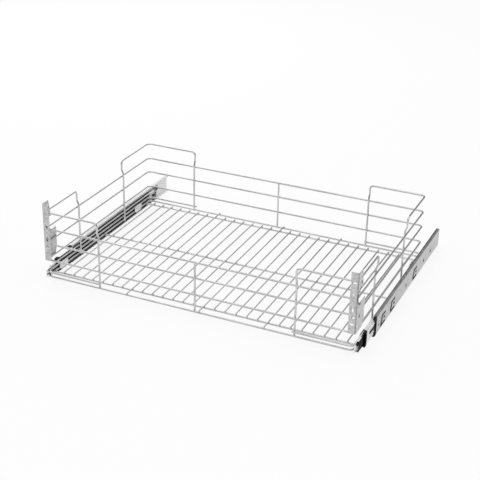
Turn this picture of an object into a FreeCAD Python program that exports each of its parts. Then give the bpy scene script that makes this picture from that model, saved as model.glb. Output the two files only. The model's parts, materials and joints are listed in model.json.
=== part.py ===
import FreeCAD, Part
import math
import os
import Sketcher
from FreeCAD import Placement, Rotation, Vector

# Pull-out pot drawer: a wire basket that rides on two full-extension ball bearing slides.
# X is across the cabinet, Y runs from the front to the rear, Z is up, all in millimetres.
# The origin is midway between the slides, midway front to rear, level with their lower edges.

doc = FreeCAD.newDocument("PotDrawer")
sheet = doc.addObject("Spreadsheet::Sheet", "Sizes")

sizes = {
    # basket
    "basketWidth": (832, "between the centres of the side rails"),
    "basketDepth": (540, "between the centres of the front and rear rails"),
    "frameWire": (5, "diameter of the rails, the ring and the loops"),
    "floorWire": (4, "diameter of the floor wires"),
    "ringHeight": (21, "centre of the bottom ring above the slides' lower edge"),
    "lowerRailRise": (47, "lower rail above the bottom ring"),
    "middleRailRise": (93, "middle rail above the bottom ring"),
    "upperRailRise": (135, "upper rail above the bottom ring"),
    "loopRise": (180, "top of the corner loops above the bottom ring"),
    "sideWireRise": (11, "side support wire above the bottom ring"),
    "railCorner": (12, "corner radius of every rail, on the wire's centre"),
    "loopBend": (10, "radius of the bends at the top of a loop"),
    "jogBend": (8, "radius of the two bends of a leg's jog"),
    "jogStart": (6, "start of the jog above the upper rail"),
    "jogLength": (13, "height of the jog"),
    "frontLegInset": (150, "loop legs from the front corners"),
    "rearLegInset": (155, "loop legs from the rear corners"),
    "frontLegShift": (2, "how far the front wall's loop legs stand to the right"),
    "rearLegSpread": (2.4, "how far the rear wall's loop legs stand further out"),
    "frontPostShift": (4.5, "how far the front post stands to the right of centre"),
    "legFoot": (1, "how far a leg passes the centre of the bottom ring"),
    "wireTail": (3, "how far a wire runs on past the leg it is welded to"),
    "crossInset": (28, "front cross wire behind the front rails"),
    "middleCross": (277.5, "middle cross wire behind the front rails"),
    "rearCrossInset": (25, "rear cross wire ahead of the rear rails"),
    "floorPitch": (28.8, "spacing of the floor wires"),
    "floorTail": (5, "how far a floor wire runs on past the cross wire"),
    "floorShift": (4, "how far the floor wires stand to the right of centre"),
    "floorMargin": (20, "least distance of a floor wire from the side rails"),
    # slides
    "slideLength": (550, "length of the cabinet and drawer members"),
    "slideHeight": (51, "height of the cabinet member"),
    "slideDepth": (12.7, "depth of a whole slide across the cabinet"),
    "memberSteel": (1.2, "thickness of the rolled members"),
    "memberBend": (1.8, "outer radius where a web turns into a flange"),
    "restOpening": (129, "how far the drawer stands open in the modelled pose"),
    "ballDiameter": (3.2, "steel balls"),
    "ballPlay": (0.15, "gap between a ball and its races"),
    "raceShoulder": (1.3, "inside of a flange above the centre of its balls"),
    "raceLip": (0.45, "how far a curled edge reaches past the centre of its balls"),
    "outerRaceReach": (5.7, "outer ball rows from the basket side of the slide"),
    "innerRaceReach": (4.3, "inner ball rows from the basket side of the slide"),
    "raceStep": (5, "height between an outer ball row and the inner one"),
    "webGap": (1.8, "space between the webs of the cabinet and middle members"),
    "middleShort": (18, "how much shorter the middle member is"),
    "drawerFlange": (5.9, "width of the drawer member's flanges"),
    "noseLength": (24, "length of the drawer member's tapered front end"),
    "cageSteel": (0.6, "thickness of the ball cages"),
    "cageWebSetback": (0.6, "a cage's web from the web outside it"),
    "cageLength": (220, "length of a ball cage"),
    "cageStart": (147.5, "a cage behind its member's front end, drawer shut"),
    "cageEdgeGap": (0.35, "a cage's edge from the curled lip"),
    "ballMargin": (12, "first and last ball from the ends of a cage"),
    # cabinet member holes
    "screwHole": (4.6, "diameter of the cabinet screw holes"),
    "firstScrew": (17, "first screw hole behind the front end"),
    "secondScrew": (241, "second screw hole behind the front end"),
    "thirdScrew": (401, "third screw hole behind the front end"),
    "lastScrew": (465, "last screw hole behind the front end"),
    "tabLength": (34, "length of an E-shaped cut"),
    "tabHeight": (28, "height of an E-shaped cut"),
    "tabStroke": (3.6, "width of the strokes of an E-shaped cut"),
    "tabSpine": (7, "width of the back of an E-shaped cut"),
    "tabStep": (5, "how far the back of an E-shaped cut steps rearwards"),
    "cutFall": (5.5, "screw holes and E-shaped cuts below the slide's centre line"),
    "firstTab": (33, "first E-shaped cut behind the front end"),
    "secondTab": (110, "second E-shaped cut behind the front end"),
    "thirdTab": (301, "third E-shaped cut behind the front end"),
    # plastic stops
    "stopGap": (0.3, "running gap of the plastic pieces"),
    "frontStopLength": (14, "front stop, ahead of the cabinet member"),
    "stopTongue": (9, "tongue of a stop inside its member"),
    "tongueHeight": (16, "height of a stop's tongue"),
    "middleStopLength": (8, "front stop, ahead of the middle member"),
    "middleStopReach": (7.2, "inner face of the middle member's stop"),
    "middleCapReach": (3, "inner end of the caps on the middle member's stop"),
    "frontCapReach": (6.5, "inner end of the caps on the cabinet member's stop"),
    "rearStopLength": (18, "rear stop's upper lobe, behind the middle member"),
    "lobeHeight": (18.2, "height of each of the rear stop's two lobes"),
    "lowerLobeStart": (26, "rear stop's lower lobe, ahead of the middle member's rear end"),
    "catchThick": (0.9, "thickness of the catch"),
    "catchStart": (20, "catch behind the middle member's front end"),
    "catchLength": (48, "length of the catch"),
    "catchHeight": (8, "height of the catch at its thin end"),
    "catchRoot": (14, "height of the catch at its root"),
    "catchRise": (3, "how far the thin end of the catch lies above its root"),
    # release levers
    "leverPivot": (97, "pivot of a release lever behind the drawer member's front end"),
    "leverTip": (8, "front of a release lever behind the drawer member's front end"),
    "leverThick": (3.2, "thickness of a release lever"),
    "leverReach": (3, "basket side of a release lever"),
    "leverArm": (7, "height of a lever's arm"),
    "leverHub": (12, "diameter of a lever's hub"),
    "leverFork": (18, "height of a lever's forked tip"),
    "forkLength": (38, "length of a lever's forked tip"),
    "forkGap": (4.6, "gap between the tines of the fork"),
    "pinDiameter": (4, "pivot rivet of a release lever"),
    "pinHead": (7, "head of the pivot rivet"),
    "pinPlay": (0.15, "gap between the rivet and the lever"),
    "leverWindow": (30, "length of the window beside a lever's tip"),
    "windowHeight": (9, "height of that window"),
    "windowStart": (16, "that window behind the drawer member's front end"),
    # fixing of the basket to the slides
    "plateLength": (40, "length of a mounting plate"),
    "plateHeight": (24, "height of a mounting plate"),
    "plateSteel": (1.5, "thickness of a mounting plate"),
    "frontPlate": (70, "front mounting plates behind the front rails"),
    "rearPlate": (72, "rear mounting plates ahead of the rear rails"),
    "screwDiameter": (4, "slide screws"),
    "screwHead": (8, "head of a slide screw"),
    "headHeight": (2.4, "height of a screw head"),
    "screwEnd": (2.4, "end of a slide screw past the basket side of the slide"),
    "screwPlay": (0.1, "gap round a slide screw"),
    # front brackets
    "bracketSteel": (1.5, "thickness of a front bracket"),
    "bracketBottom": (46, "foot of a front bracket above the bottom ring"),
    "bracketTop": (204, "top of a front bracket above the bottom ring"),
    "bracketFace": (19, "width of the front flange"),
    "foldRadius": (3, "outer radius of the fold between the two flanges"),
    "topReach": (23, "depth of the side flange at its top"),
    "waistReach": (31, "depth of the side flange above its hook opening"),
    "sideReach": (51, "depth of the side flange at its widest"),
    "footReach": (43, "depth of the side flange at its foot"),
    "footRise": (20, "height of the slanted corner at the foot"),
    "hookLow": (27, "lower edge of the hook opening above the middle rail"),
    "hookHigh": (65, "upper edge of the hook opening above the middle rail"),
    "hookDepth": (13, "where the hook opening's rounded front starts"),
    "hookBow": (21, "radius of the rounded front of the hook opening"),
    "clawWidth": (8, "width of a claw that grips a rail"),
    "clawSet": (21, "rear edge of the claws behind the front rails"),
    "clawDrop": (5, "how far a claw reaches down behind its rail"),
    "sideHole": (5, "diameter of the hole in the side flange"),
    "sideHoleSet": (18, "that hole behind the front rails"),
    "sideHoleFall": (9, "that hole below the middle rail"),
    "slotLength": (11, "length of the slots for the front panel's screws"),
    "slotWidth": (5, "width of those slots"),
    "slotInset": (10.5, "centre of the slots from the fold"),
    "topSlot": (177, "topmost slot above the bottom ring"),
    "pairSlot": (141, "pair of small holes above the bottom ring"),
    "uprightSlot": (107, "upright slot above the bottom ring"),
    "upperSlot": (88, "upper of the two low slots above the bottom ring"),
    "lowSlot": (70, "lower of the two low slots above the bottom ring"),
}
long_wire_shares = (0.26, 0.75)
balls_per_row = 2

for row, (alias, (value, note)) in enumerate(sizes.items(), start=1):
    sheet.set(f"A{row}", alias)
    sheet.set(f"B{row}", str(value))
    sheet.setAlias(f"B{row}", alias)
    sheet.set(f"C{row}", note)
doc.recompute()


class Size:
    """A length from the sheet or worked out from it: its expression and its present value."""

    def __init__(self, text, value):
        self.text = text
        self.value = float(value)

    def __add__(self, other):
        other = as_size(other)
        return Size(f"({self.text} + {other.text})", self.value + other.value)

    def __sub__(self, other):
        other = as_size(other)
        return Size(f"({self.text} - {other.text})", self.value - other.value)

    def __mul__(self, other):
        other = as_size(other)
        return Size(f"({self.text} * {other.text})", self.value * other.value)

    def __truediv__(self, other):
        other = as_size(other)
        return Size(f"({self.text} / {other.text})", self.value / other.value)

    def __radd__(self, other):
        return as_size(other) + self

    def __rsub__(self, other):
        return as_size(other) - self

    def __rmul__(self, other):
        return as_size(other) * self

    def __neg__(self):
        return self * -1


def as_size(value):
    return value if isinstance(value, Size) else Size(repr(float(value)), value)


def size(alias):
    return Size(f"Sizes.{alias}", sheet.get(alias))


def root(value):
    return Size(f"sqrt({value.text})", math.sqrt(value.value))


def leg_of(hypotenuse, side):
    """The other side of a right-angled triangle."""
    return root(hypotenuse * hypotenuse - side * side)


def bind(thing, prop, value):
    value = as_size(value)
    thing.setExpression(prop, value.text)


def place(thing, x, y, z, rotation=Rotation()):
    spot = [as_size(x), as_size(y), as_size(z)]
    thing.Placement = Placement(Vector(*[part.value for part in spot]), rotation)
    for axis, part in zip("xyz", spot):
        bind(thing, f"Placement.Base.{axis}", part)


# Sketch helpers

class Corner:
    """A corner of an outline; with a centre, an arc leads on to the next corner."""

    def __init__(self, x, y, centre=None, clockwise=False):
        self.x = as_size(x)
        self.y = as_size(y)
        self.centre = centre and (as_size(centre[0]), as_size(centre[1]))
        self.clockwise = clockwise

    def point(self):
        return Vector(self.x.value, self.y.value, 0)


def new_body(name):
    body = doc.addObject("PartDesign::Body", name)
    body.Label = name
    return body


def new_sketch(body, role, name, lift=None):
    sketch = body.newObject("Sketcher::SketchObject", f"{body.Name}_{name}")
    plane = [feature for feature in body.Origin.OriginFeatures if feature.Role == role][0]
    sketch.AttachmentSupport = [(plane, "")]
    sketch.MapMode = "FlatFace"
    if lift is not None:
        bind(sketch, "AttachmentOffset.Base.z", lift)
    return sketch


def fix_coordinate(sketch, geometry, position, direction, value):
    """Holds one coordinate of a point by a distance from the origin."""
    if abs(value.value) < 1e-9:
        axis = -2 if direction == "X" else -1
        sketch.addConstraint(Sketcher.Constraint("PointOnObject", geometry, position, axis))
    else:
        index = sketch.addConstraint(Sketcher.Constraint(
            f"Distance{direction}", -1, 1, geometry, position, value.value))
        bind(sketch, f"Constraints[{index}]", value)


def fix_point(sketch, geometry, position, x, y):
    fix_coordinate(sketch, geometry, position, "X", x)
    fix_coordinate(sketch, geometry, position, "Y", y)


def draw_outline(sketch, corners, closed=True):
    """Lines and arcs through the corners, each corner held by its two distances."""
    count = len(corners)
    spans = count if closed else count - 1
    ends = []
    for index in range(spans):
        here = corners[index]
        there = corners[(index + 1) % count]
        start, end = here.point(), there.point()
        if here.centre is None:
            geometry = sketch.addGeometry(Part.LineSegment(start, end), False)
            ends.append((geometry, 1, 2))
            continue
        middle = Vector(here.centre[0].value, here.centre[1].value, 0)
        first, last = (end, start) if here.clockwise else (start, end)
        first_angle = math.atan2(first.y - middle.y, first.x - middle.x)
        last_angle = math.atan2(last.y - middle.y, last.x - middle.x)
        if last_angle <= first_angle:
            last_angle += 2 * math.pi
        circle = Part.Circle(middle, Vector(0, 0, 1), middle.distanceToPoint(start))
        geometry = sketch.addGeometry(Part.ArcOfCircle(circle, first_angle, last_angle), False)
        ends.append((geometry, 2, 1) if here.clockwise else (geometry, 1, 2))
    for index in range(spans):
        geometry, start, end = ends[index]
        fix_point(sketch, geometry, start, corners[index].x, corners[index].y)
        if index + 1 < spans or closed:
            following = ends[(index + 1) % spans]
            sketch.addConstraint(
                Sketcher.Constraint("Coincident", geometry, end, following[0], following[1]))
        else:
            fix_point(sketch, geometry, end, corners[-1].x, corners[-1].y)
    for index in range(spans):
        here = corners[index]
        if here.centre is None:
            continue
        chord = corners[(index + 1) % count].point() - here.point()
        steep = abs(chord.y) > abs(chord.x)
        fix_coordinate(sketch, ends[index][0], 3, "X" if steep else "Y",
                       here.centre[0] if steep else here.centre[1])


def draw_circle(sketch, x, y, diameter):
    x, y, radius = as_size(x), as_size(y), as_size(diameter) / 2
    circle = Part.Circle(Vector(x.value, y.value, 0), Vector(0, 0, 1), radius.value)
    geometry = sketch.addGeometry(circle, False)
    fix_point(sketch, geometry, 3, x, y)
    number = sketch.addConstraint(Sketcher.Constraint("Radius", geometry, radius.value))
    bind(sketch, f"Constraints[{number}]", radius)


def draw_box(sketch, low_x, low_y, high_x, high_y):
    draw_outline(sketch, [Corner(low_x, low_y), Corner(high_x, low_y),
                          Corner(high_x, high_y), Corner(low_x, high_y)])


def draw_slot(sketch, x, y, length, width, upright=False):
    """A slot with round ends, centred on a point."""
    half = (length - width) / 2
    end = width / 2
    if upright:
        draw_outline(sketch, [
            Corner(x + end, y - half), Corner(x + end, y + half, (x, y + half)),
            Corner(x - end, y + half), Corner(x - end, y - half, (x, y - half))])
    else:
        draw_outline(sketch, [
            Corner(x - half, y - end), Corner(x + half, y - end, (x + half, y)),
            Corner(x + half, y + end), Corner(x - half, y + end, (x - half, y))])


def pad(body, sketch, length, name, rearwards=False):
    feature = body.newObject("PartDesign::Pad", f"{body.Name}_{name}")
    feature.Profile = sketch
    bind(feature, "Length", length)
    feature.Reversed = rearwards
    return feature


def pocket_through(body, sketch, name):
    feature = body.newObject("PartDesign::Pocket", f"{body.Name}_{name}")
    feature.Profile = sketch
    feature.Type = "ThroughAll"
    feature.Midplane = True
    return feature


def rod(name, diameter, length, x, y, z, along):
    """A straight wire that starts at a point and runs along an axis."""
    wire = doc.addObject("Part::Cylinder", name)
    wire.Label = name
    bind(wire, "Radius", diameter / 2)
    bind(wire, "Height", length)
    turns = {
        "X": Rotation(Vector(0, 1, 0), 90),
        "Y": Rotation(Vector(1, 0, 0), -90),
        "Z": Rotation(),
    }
    place(wire, x, y, z, turns[along])
    return wire


def group(name, members):
    """Several separate pieces of one kind under one name."""
    together = doc.addObject("Part::Compound", name)
    together.Label = name
    together.Links = members
    return together


# Places shared by several pieces

wire = size("frameWire")
half_width = size("basketWidth") / 2
depth = size("basketDepth")
steel = size("memberSteel")
front_line = (wire + size("bracketSteel") - size("restOpening") - size("slideLength")) / 2
rear_line = front_line + depth
ring = size("ringHeight")
slide_axis = size("slideHeight") / 2
slide_side = half_width + wire / 2
drawer_front = front_line - wire / 2
middle_front = drawer_front + size("restOpening") / 2
cabinet_front = drawer_front + size("restOpening")
sides = (("left", -1), ("right", 1))

pieces = []


# Basket: closed rails

def rail(name, rise):
    """A rail bent into a rounded rectangle, swept from the middle of its front run."""
    body = new_body(name)
    bend = size("railCorner")
    x, y = half_width, depth / 2
    path = new_sketch(body, "XY_Plane", "path")
    draw_outline(path, [
        Corner(0, -y),
        Corner(x - bend, -y, (x - bend, bend - y)),
        Corner(x, bend - y),
        Corner(x, y - bend, (x - bend, y - bend)),
        Corner(x - bend, y),
        Corner(bend - x, y, (bend - x, y - bend)),
        Corner(-x, y - bend),
        Corner(-x, bend - y, (bend - x, bend - y)),
        Corner(bend - x, -y)])
    section = new_sketch(body, "YZ_Plane", "section")
    draw_circle(section, -y, 0, wire)
    pipe = body.newObject("PartDesign::AdditivePipe", f"{name}_pipe")
    pipe.Profile = section
    pipe.Spine = path
    place(body, 0, front_line + y, ring + rise)
    return body


for name, rise in (("bottom_ring", 0),
                   ("lower_rail", size("lowerRailRise")),
                   ("middle_rail", size("middleRailRise")),
                   ("upper_rail", size("upperRailRise"))):
    pieces.append(rail(name, rise))


# Basket: side support wires, each bent round both corners of its side

def side_wire(name, side):
    body = new_body(name)
    bend = size("railCorner")
    x, y = side * half_width, depth / 2
    front_end = side * (half_width - size("frontLegInset") - size("wireTail"))
    rear_end = side * (half_width - size("rearLegInset") - size("wireTail"))
    path = new_sketch(body, "XY_Plane", "path")
    turn_x = x - side * bend
    backwards = side < 0
    draw_outline(path, [
        Corner(front_end, -y),
        Corner(turn_x, -y, (turn_x, bend - y), backwards),
        Corner(x, bend - y),
        Corner(x, y - bend, (turn_x, y - bend), backwards),
        Corner(turn_x, y),
        Corner(rear_end, y)], closed=False)
    section = new_sketch(body, "YZ_Plane", "section", front_end)
    draw_circle(section, -y, 0, wire)
    pipe = body.newObject("PartDesign::AdditivePipe", f"{name}_pipe")
    pipe.Profile = section
    pipe.Spine = path
    place(body, 0, front_line + y, ring + size("sideWireRise"))
    return body


for word, side in sides:
    pieces.append(side_wire(f"{word}_side_wire", side))


# Basket: corner loops, each one wire from a foot on one wall to a foot on the next

def bent_wire(points, bends):
    """Straight runs between the points, joined at each inner point by an arc of its radius."""
    edges = []
    last = points[0]
    for index, bend in enumerate(bends, start=1):
        before = (points[index - 1] - points[index]).normalize()
        after = (points[index + 1] - points[index]).normalize()
        half = before.getAngle(after) / 2
        cut = bend / math.tan(half)
        start = points[index] + before * cut
        end = points[index] + after * cut
        inwards = (before + after).normalize()
        centre = points[index] + inwards * (bend / math.sin(half))
        edges.append(Part.LineSegment(last, start).toShape())
        edges.append(Part.Arc(start, centre - inwards * bend, end).toShape())
        last = end
    edges.append(Part.LineSegment(last, points[-1]).toShape())
    return Part.Wire(edges)


def corner_loop(name, side, end, inset, shift):
    """The loop's top lies in the plane of the rails; its legs jog inwards to pass inside them."""
    mm = {alias: sheet.get(alias) for alias in sizes}
    x = side * mm["basketWidth"] / 2
    y = 0 if end == "front" else mm["basketDepth"]
    inwards = 1 if end == "front" else -1
    leg_x = x - side * mm[inset] + shift
    leg_y = y + inwards * mm[inset]
    inner_x = x - side * mm["frameWire"]
    inner_y = y + inwards * mm["frameWire"]
    foot = -mm["legFoot"]
    low = mm["upperRailRise"] + mm["jogStart"]
    high = low + mm["jogLength"]
    top = mm["loopRise"]
    points = [Vector(leg_x, inner_y, foot), Vector(leg_x, inner_y, low),
              Vector(leg_x, y, high), Vector(leg_x, y, top), Vector(x, y, top),
              Vector(x, leg_y, top), Vector(x, leg_y, high),
              Vector(inner_x, leg_y, low), Vector(inner_x, leg_y, foot)]
    jog, loop = mm["jogBend"], mm["loopBend"]
    path = doc.addObject("Part::Feature", f"{name}_path")
    path.Shape = bent_wire(points, [jog, jog, loop, mm["railCorner"], loop, jog, jog])
    place(path, 0, front_line, ring)
    section = doc.addObject("Part::Circle", f"{name}_section")
    bind(section, "Radius", wire / 2)
    place(section, points[0].x, front_line + inner_y, ring + foot)
    sweep = doc.addObject("Part::Sweep", name)
    sweep.Label = name
    sweep.Sections = [section]
    sweep.Spine = (path, [f"Edge{number + 1}" for number in range(len(path.Shape.Edges))])
    sweep.Solid = True
    sweep.Frenet = False
    return sweep


for word, side in sides:
    pieces.append(corner_loop(f"front_{word}_loop", side, "front", "frontLegInset",
                              sheet.get("frontLegShift")))
    pieces.append(corner_loop(f"rear_{word}_loop", side, "rear", "rearLegInset",
                              side * sheet.get("rearLegSpread")))


# Basket: straight wires

post_height = size("upperRailRise") + 2 * size("legFoot")
for word, x, y in (("front", size("frontPostShift"), front_line + wire),
                   ("rear", 0, rear_line - wire)):
    pieces.append(rod(f"{word}_centre_post", wire, post_height, x, y,
                      ring - size("legFoot"), "Z"))

cross_length = size("basketWidth") - wire
for word, y in (("front", front_line + size("crossInset")),
                ("middle", front_line + size("middleCross")),
                ("rear", rear_line - size("rearCrossInset"))):
    pieces.append(rod(f"{word}_cross_wire", wire, cross_length, -cross_length / 2, y, ring, "X"))


floor_room = (sheet.get("basketWidth") - 2 * sheet.get("floorMargin")
              - 2 * abs(sheet.get("floorShift")))
floor_wire_count = 1 + math.floor(floor_room / sheet.get("floorPitch"))
beside_post = (sheet.get("frontPostShift") + sheet.get("frameWire")
               - sheet.get("floorShift")) / sheet.get("floorPitch")
long_wire_places = [round(share * (floor_wire_count - 1)) for share in long_wire_shares]
# the long wire between these two passes just to the right of the front post
long_wire_places.insert(1, math.ceil(beside_post + (floor_wire_count - 1) / 2))


def floor_wire(number, start, length):
    x = (number - (floor_wire_count - 1) / 2) * size("floorPitch") + size("floorShift")
    height = ring + wire / 2 + size("floorWire") / 2
    return rod(f"floor_wire_{number}", size("floorWire"), length, x, start, height, "Y")


short_start = front_line + size("crossInset") - size("floorTail")
short_length = depth - size("crossInset") - size("rearCrossInset") + 2 * size("floorTail")
short_wires = [floor_wire(number, short_start, short_length)
               for number in range(floor_wire_count) if number not in long_wire_places]
long_wires = [floor_wire(number, front_line - wire / 4, depth + wire / 2)
              for number in long_wire_places]
pieces.append(group("floor_wires", short_wires))
pieces.append(group("long_floor_wires", long_wires))


# Slides: rolled members
# A section is drawn with x outwards from the basket and y up from the slide's centre line.

ball = size("ballDiameter") / 2
race = ball + size("ballPlay")
race_back = race + steel
outer_row = size("slideHeight") / 2 - race_back
inner_row = outer_row - size("raceStep")
drawer_top = inner_row - race
outer_web = size("slideDepth") - steel
middle_web = outer_web - size("webGap")


def with_lower_half(chain):
    """Mirrors the upper half of a section and joins the two."""
    lower = []
    for index in reversed(range(len(chain))):
        corner = chain[index]
        arc = chain[index - 1] if index > 0 else None
        if arc is not None and arc.centre is not None:
            centre = (arc.centre[0], -arc.centre[1])
            lower.append(Corner(corner.x, -corner.y, centre, arc.clockwise))
        else:
            lower.append(Corner(corner.x, -corner.y))
    return chain + lower


def race_section(side, web_face, row, reach):
    """A C-section whose flanges curl round a row of balls; web_face is its outer side."""
    shoulder = size("raceShoulder")
    lip = size("raceLip")
    outer_bend = size("memberBend")
    inner_bend = outer_bend - steel
    flange = row + shoulder
    back = web_face - steel
    inner_start = leg_of(race, shoulder)
    outer_start = leg_of(race_back, shoulder + steel)
    inner_end = leg_of(race, lip)
    grow = race_back / race
    turn = side > 0
    chain = [
        Corner(side * back, flange - inner_bend,
               (side * (back - inner_bend), flange - inner_bend), not turn),
        Corner(side * (back - inner_bend), flange),
        Corner(side * (reach + inner_start), flange, (side * reach, row), not turn),
        Corner(side * (reach - inner_end), row - lip),
        Corner(side * (reach - inner_end * grow), row - lip * grow,
               (side * reach, row), turn),
        Corner(side * (reach + outer_start), flange + steel),
        Corner(side * (web_face - outer_bend), flange + steel,
               (side * (web_face - outer_bend), flange + steel - outer_bend), turn),
        Corner(side * web_face, flange + steel - outer_bend)]
    return with_lower_half(chain)


def drawer_section(side):
    """The drawer member: its web lies against the basket and its flanges point outwards."""
    edge = size("drawerFlange")
    outer_bend = size("memberBend")
    inner_bend = outer_bend - steel
    turn = side > 0
    chain = [
        Corner(side * steel, drawer_top - steel - inner_bend,
               (side * (steel + inner_bend), drawer_top - steel - inner_bend), turn),
        Corner(side * (steel + inner_bend), drawer_top - steel),
        Corner(side * edge, drawer_top - steel),
        Corner(side * edge, drawer_top),
        Corner(side * outer_bend, drawer_top,
               (side * outer_bend, drawer_top - outer_bend), not turn),
        Corner(0, drawer_top - outer_bend)]
    return with_lower_half(chain)


def member(name, side, section, length, front):
    body = new_body(name)
    sketch = new_sketch(body, "XZ_Plane", "section")
    draw_outline(sketch, section)
    pad(body, sketch, length, "run", rearwards=True)
    place(body, side * slide_side, front, slide_axis)
    return body


def e_cut(sketch, start):
    """Two long strokes joined by a stepped back, with a short stroke of its own between them."""
    stroke = size("tabStroke")
    spine = start + size("tabSpine")
    step = size("tabStep")
    end = start + size("tabLength")
    middle = -size("cutFall")
    top = middle + size("tabHeight") / 2
    bottom = middle - size("tabHeight") / 2
    above = middle + stroke / 2
    below = middle - stroke / 2
    draw_outline(sketch, [
        Corner(start, bottom), Corner(end, bottom), Corner(end, bottom + stroke),
        Corner(spine, bottom + stroke), Corner(spine, below),
        Corner(spine + step, below), Corner(spine + step, top - stroke),
        Corner(end, top - stroke), Corner(end, top), Corner(start + step, top),
        Corner(start + step, above), Corner(start, above)])
    draw_box(sketch, end - 2 * step, below, end, above)


def nose_cut(sketch, sign):
    """One corner off a member's front end: a quarter round beside the tip, then a ramp outwards."""
    tip = drawer_top / 4
    bend = drawer_top / 2
    ahead = -steel
    beyond = drawer_top + steel
    draw_outline(sketch, [
        Corner(ahead, sign * tip), Corner(0, sign * tip, (bend, sign * tip), sign > 0),
        Corner(bend, sign * (tip + bend)), Corner(size("noseLength"), sign * beyond),
        Corner(ahead, sign * beyond)])


for word, side in sides:
    cabinet = member(f"{word}_cabinet_member", side,
                     race_section(side, size("slideDepth"), outer_row, size("outerRaceReach")),
                     size("slideLength"), cabinet_front)
    cuts = new_sketch(cabinet, "YZ_Plane", "cuts")
    for alias in ("firstScrew", "secondScrew", "thirdScrew", "lastScrew"):
        draw_circle(cuts, size(alias), -size("cutFall"), size("screwHole"))
    for alias in ("firstTab", "secondTab", "thirdTab"):
        e_cut(cuts, size(alias))
    pocket_through(cabinet, cuts, "holes")
    pieces.append(cabinet)

    middle = member(f"{word}_middle_member", side,
                    race_section(side, middle_web, inner_row, size("innerRaceReach")),
                    size("slideLength") - size("middleShort"), middle_front)
    pieces.append(middle)

    drawer = member(f"{word}_drawer_member", side, drawer_section(side),
                    size("slideLength"), drawer_front)
    cuts = new_sketch(drawer, "YZ_Plane", "cuts")
    hole = size("screwDiameter") + 2 * size("screwPlay")
    draw_circle(cuts, wire / 2 + size("frontPlate"), 0, hole)
    draw_circle(cuts, wire / 2 + depth - size("rearPlate"), 0, hole)
    window_middle = size("windowStart") + size("leverWindow") / 2
    draw_slot(cuts, window_middle, as_size(0), size("leverWindow"), size("windowHeight"))
    for sign in (-1, 1):
        nose_cut(cuts, sign)
    pocket_through(drawer, cuts, "holes")
    pieces.append(drawer)


# Slides: ball cages and balls

def cage(name, side, outside, row, reach, front):
    """A folded strip: a web between two member webs, and two pierced flanges for the balls."""
    body = new_body(name)
    thick = size("cageSteel")
    web = outside - size("cageWebSetback")
    edge = reach - race + size("cageEdgeGap")
    high = row + thick / 2
    low = row - thick / 2
    sketch = new_sketch(body, "XZ_Plane", "section")
    chain = [Corner(side * (web - thick), low), Corner(side * edge, low),
             Corner(side * edge, high), Corner(side * web, high)]
    draw_outline(sketch, with_lower_half(chain))
    pad(body, sketch, size("cageLength"), "run", rearwards=True)
    holes = new_sketch(body, "XY_Plane", "ball_holes")
    for place_along in ball_places():
        draw_circle(holes, side * reach, place_along, race * 2)
    pocket_through(body, holes, "pockets")
    place(body, side * slide_side, front, slide_axis)
    return body


def ball_places():
    span = size("cageLength") - 2 * size("ballMargin")
    return [size("ballMargin") + number / (balls_per_row - 1) * span
            for number in range(balls_per_row)]


def balls(name, side, row, reach, front):
    made = []
    for number, place_along in enumerate(ball_places()):
        for level, height in (("upper", slide_axis + row), ("lower", slide_axis - row)):
            sphere = doc.addObject("Part::Sphere", f"{name}_{level}_{number}")
            bind(sphere, "Radius", ball)
            place(sphere, side * (slide_side + reach), front + place_along, height)
            made.append(sphere)
    return group(name, made)


cage_advance = size("restOpening") / 4
for word, side in sides:
    front = cabinet_front + size("cageStart") - cage_advance
    reach = size("outerRaceReach")
    pieces.append(cage(f"{word}_outer_cage", side, outer_web, outer_row, reach, front))
    pieces.append(balls(f"{word}_outer_balls", side, outer_row, reach, front))
    front = middle_front + size("cageStart") - cage_advance
    reach = size("innerRaceReach")
    pieces.append(cage(f"{word}_inner_cage", side, middle_web - steel, inner_row, reach, front))
    pieces.append(balls(f"{word}_inner_balls", side, inner_row, reach, front))


# Slides: plastic stops and catches

def upright_block(body, side, name, near, far, low, high, start, length):
    """A block between two distances from the basket side, drawn in cross-section."""
    sketch = new_sketch(body, "XZ_Plane", name, -start)
    draw_box(sketch, side * near, low, side * far, high)
    pad(body, sketch, length, f"{name}_pad", rearwards=True)


def front_stop(name, side, near, far, cap_reach, cap_low, top, length, tongue_far):
    """A full-height bar with a cap at each end and a tongue that grips the member's web."""
    body = new_body(name)
    tongue = size("tongueHeight") / 2
    upright_block(body, side, "bar", near, far, -top, top, -length, length)
    upright_block(body, side, "upper_cap", cap_reach, far, cap_low, top, -length, length)
    upright_block(body, side, "lower_cap", cap_reach, far, -top, -cap_low, -length, length)
    upright_block(body, side, "tongue", near, tongue_far, -tongue, tongue,
                  -length / 2, size("stopTongue") + length / 2)
    return body


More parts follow.
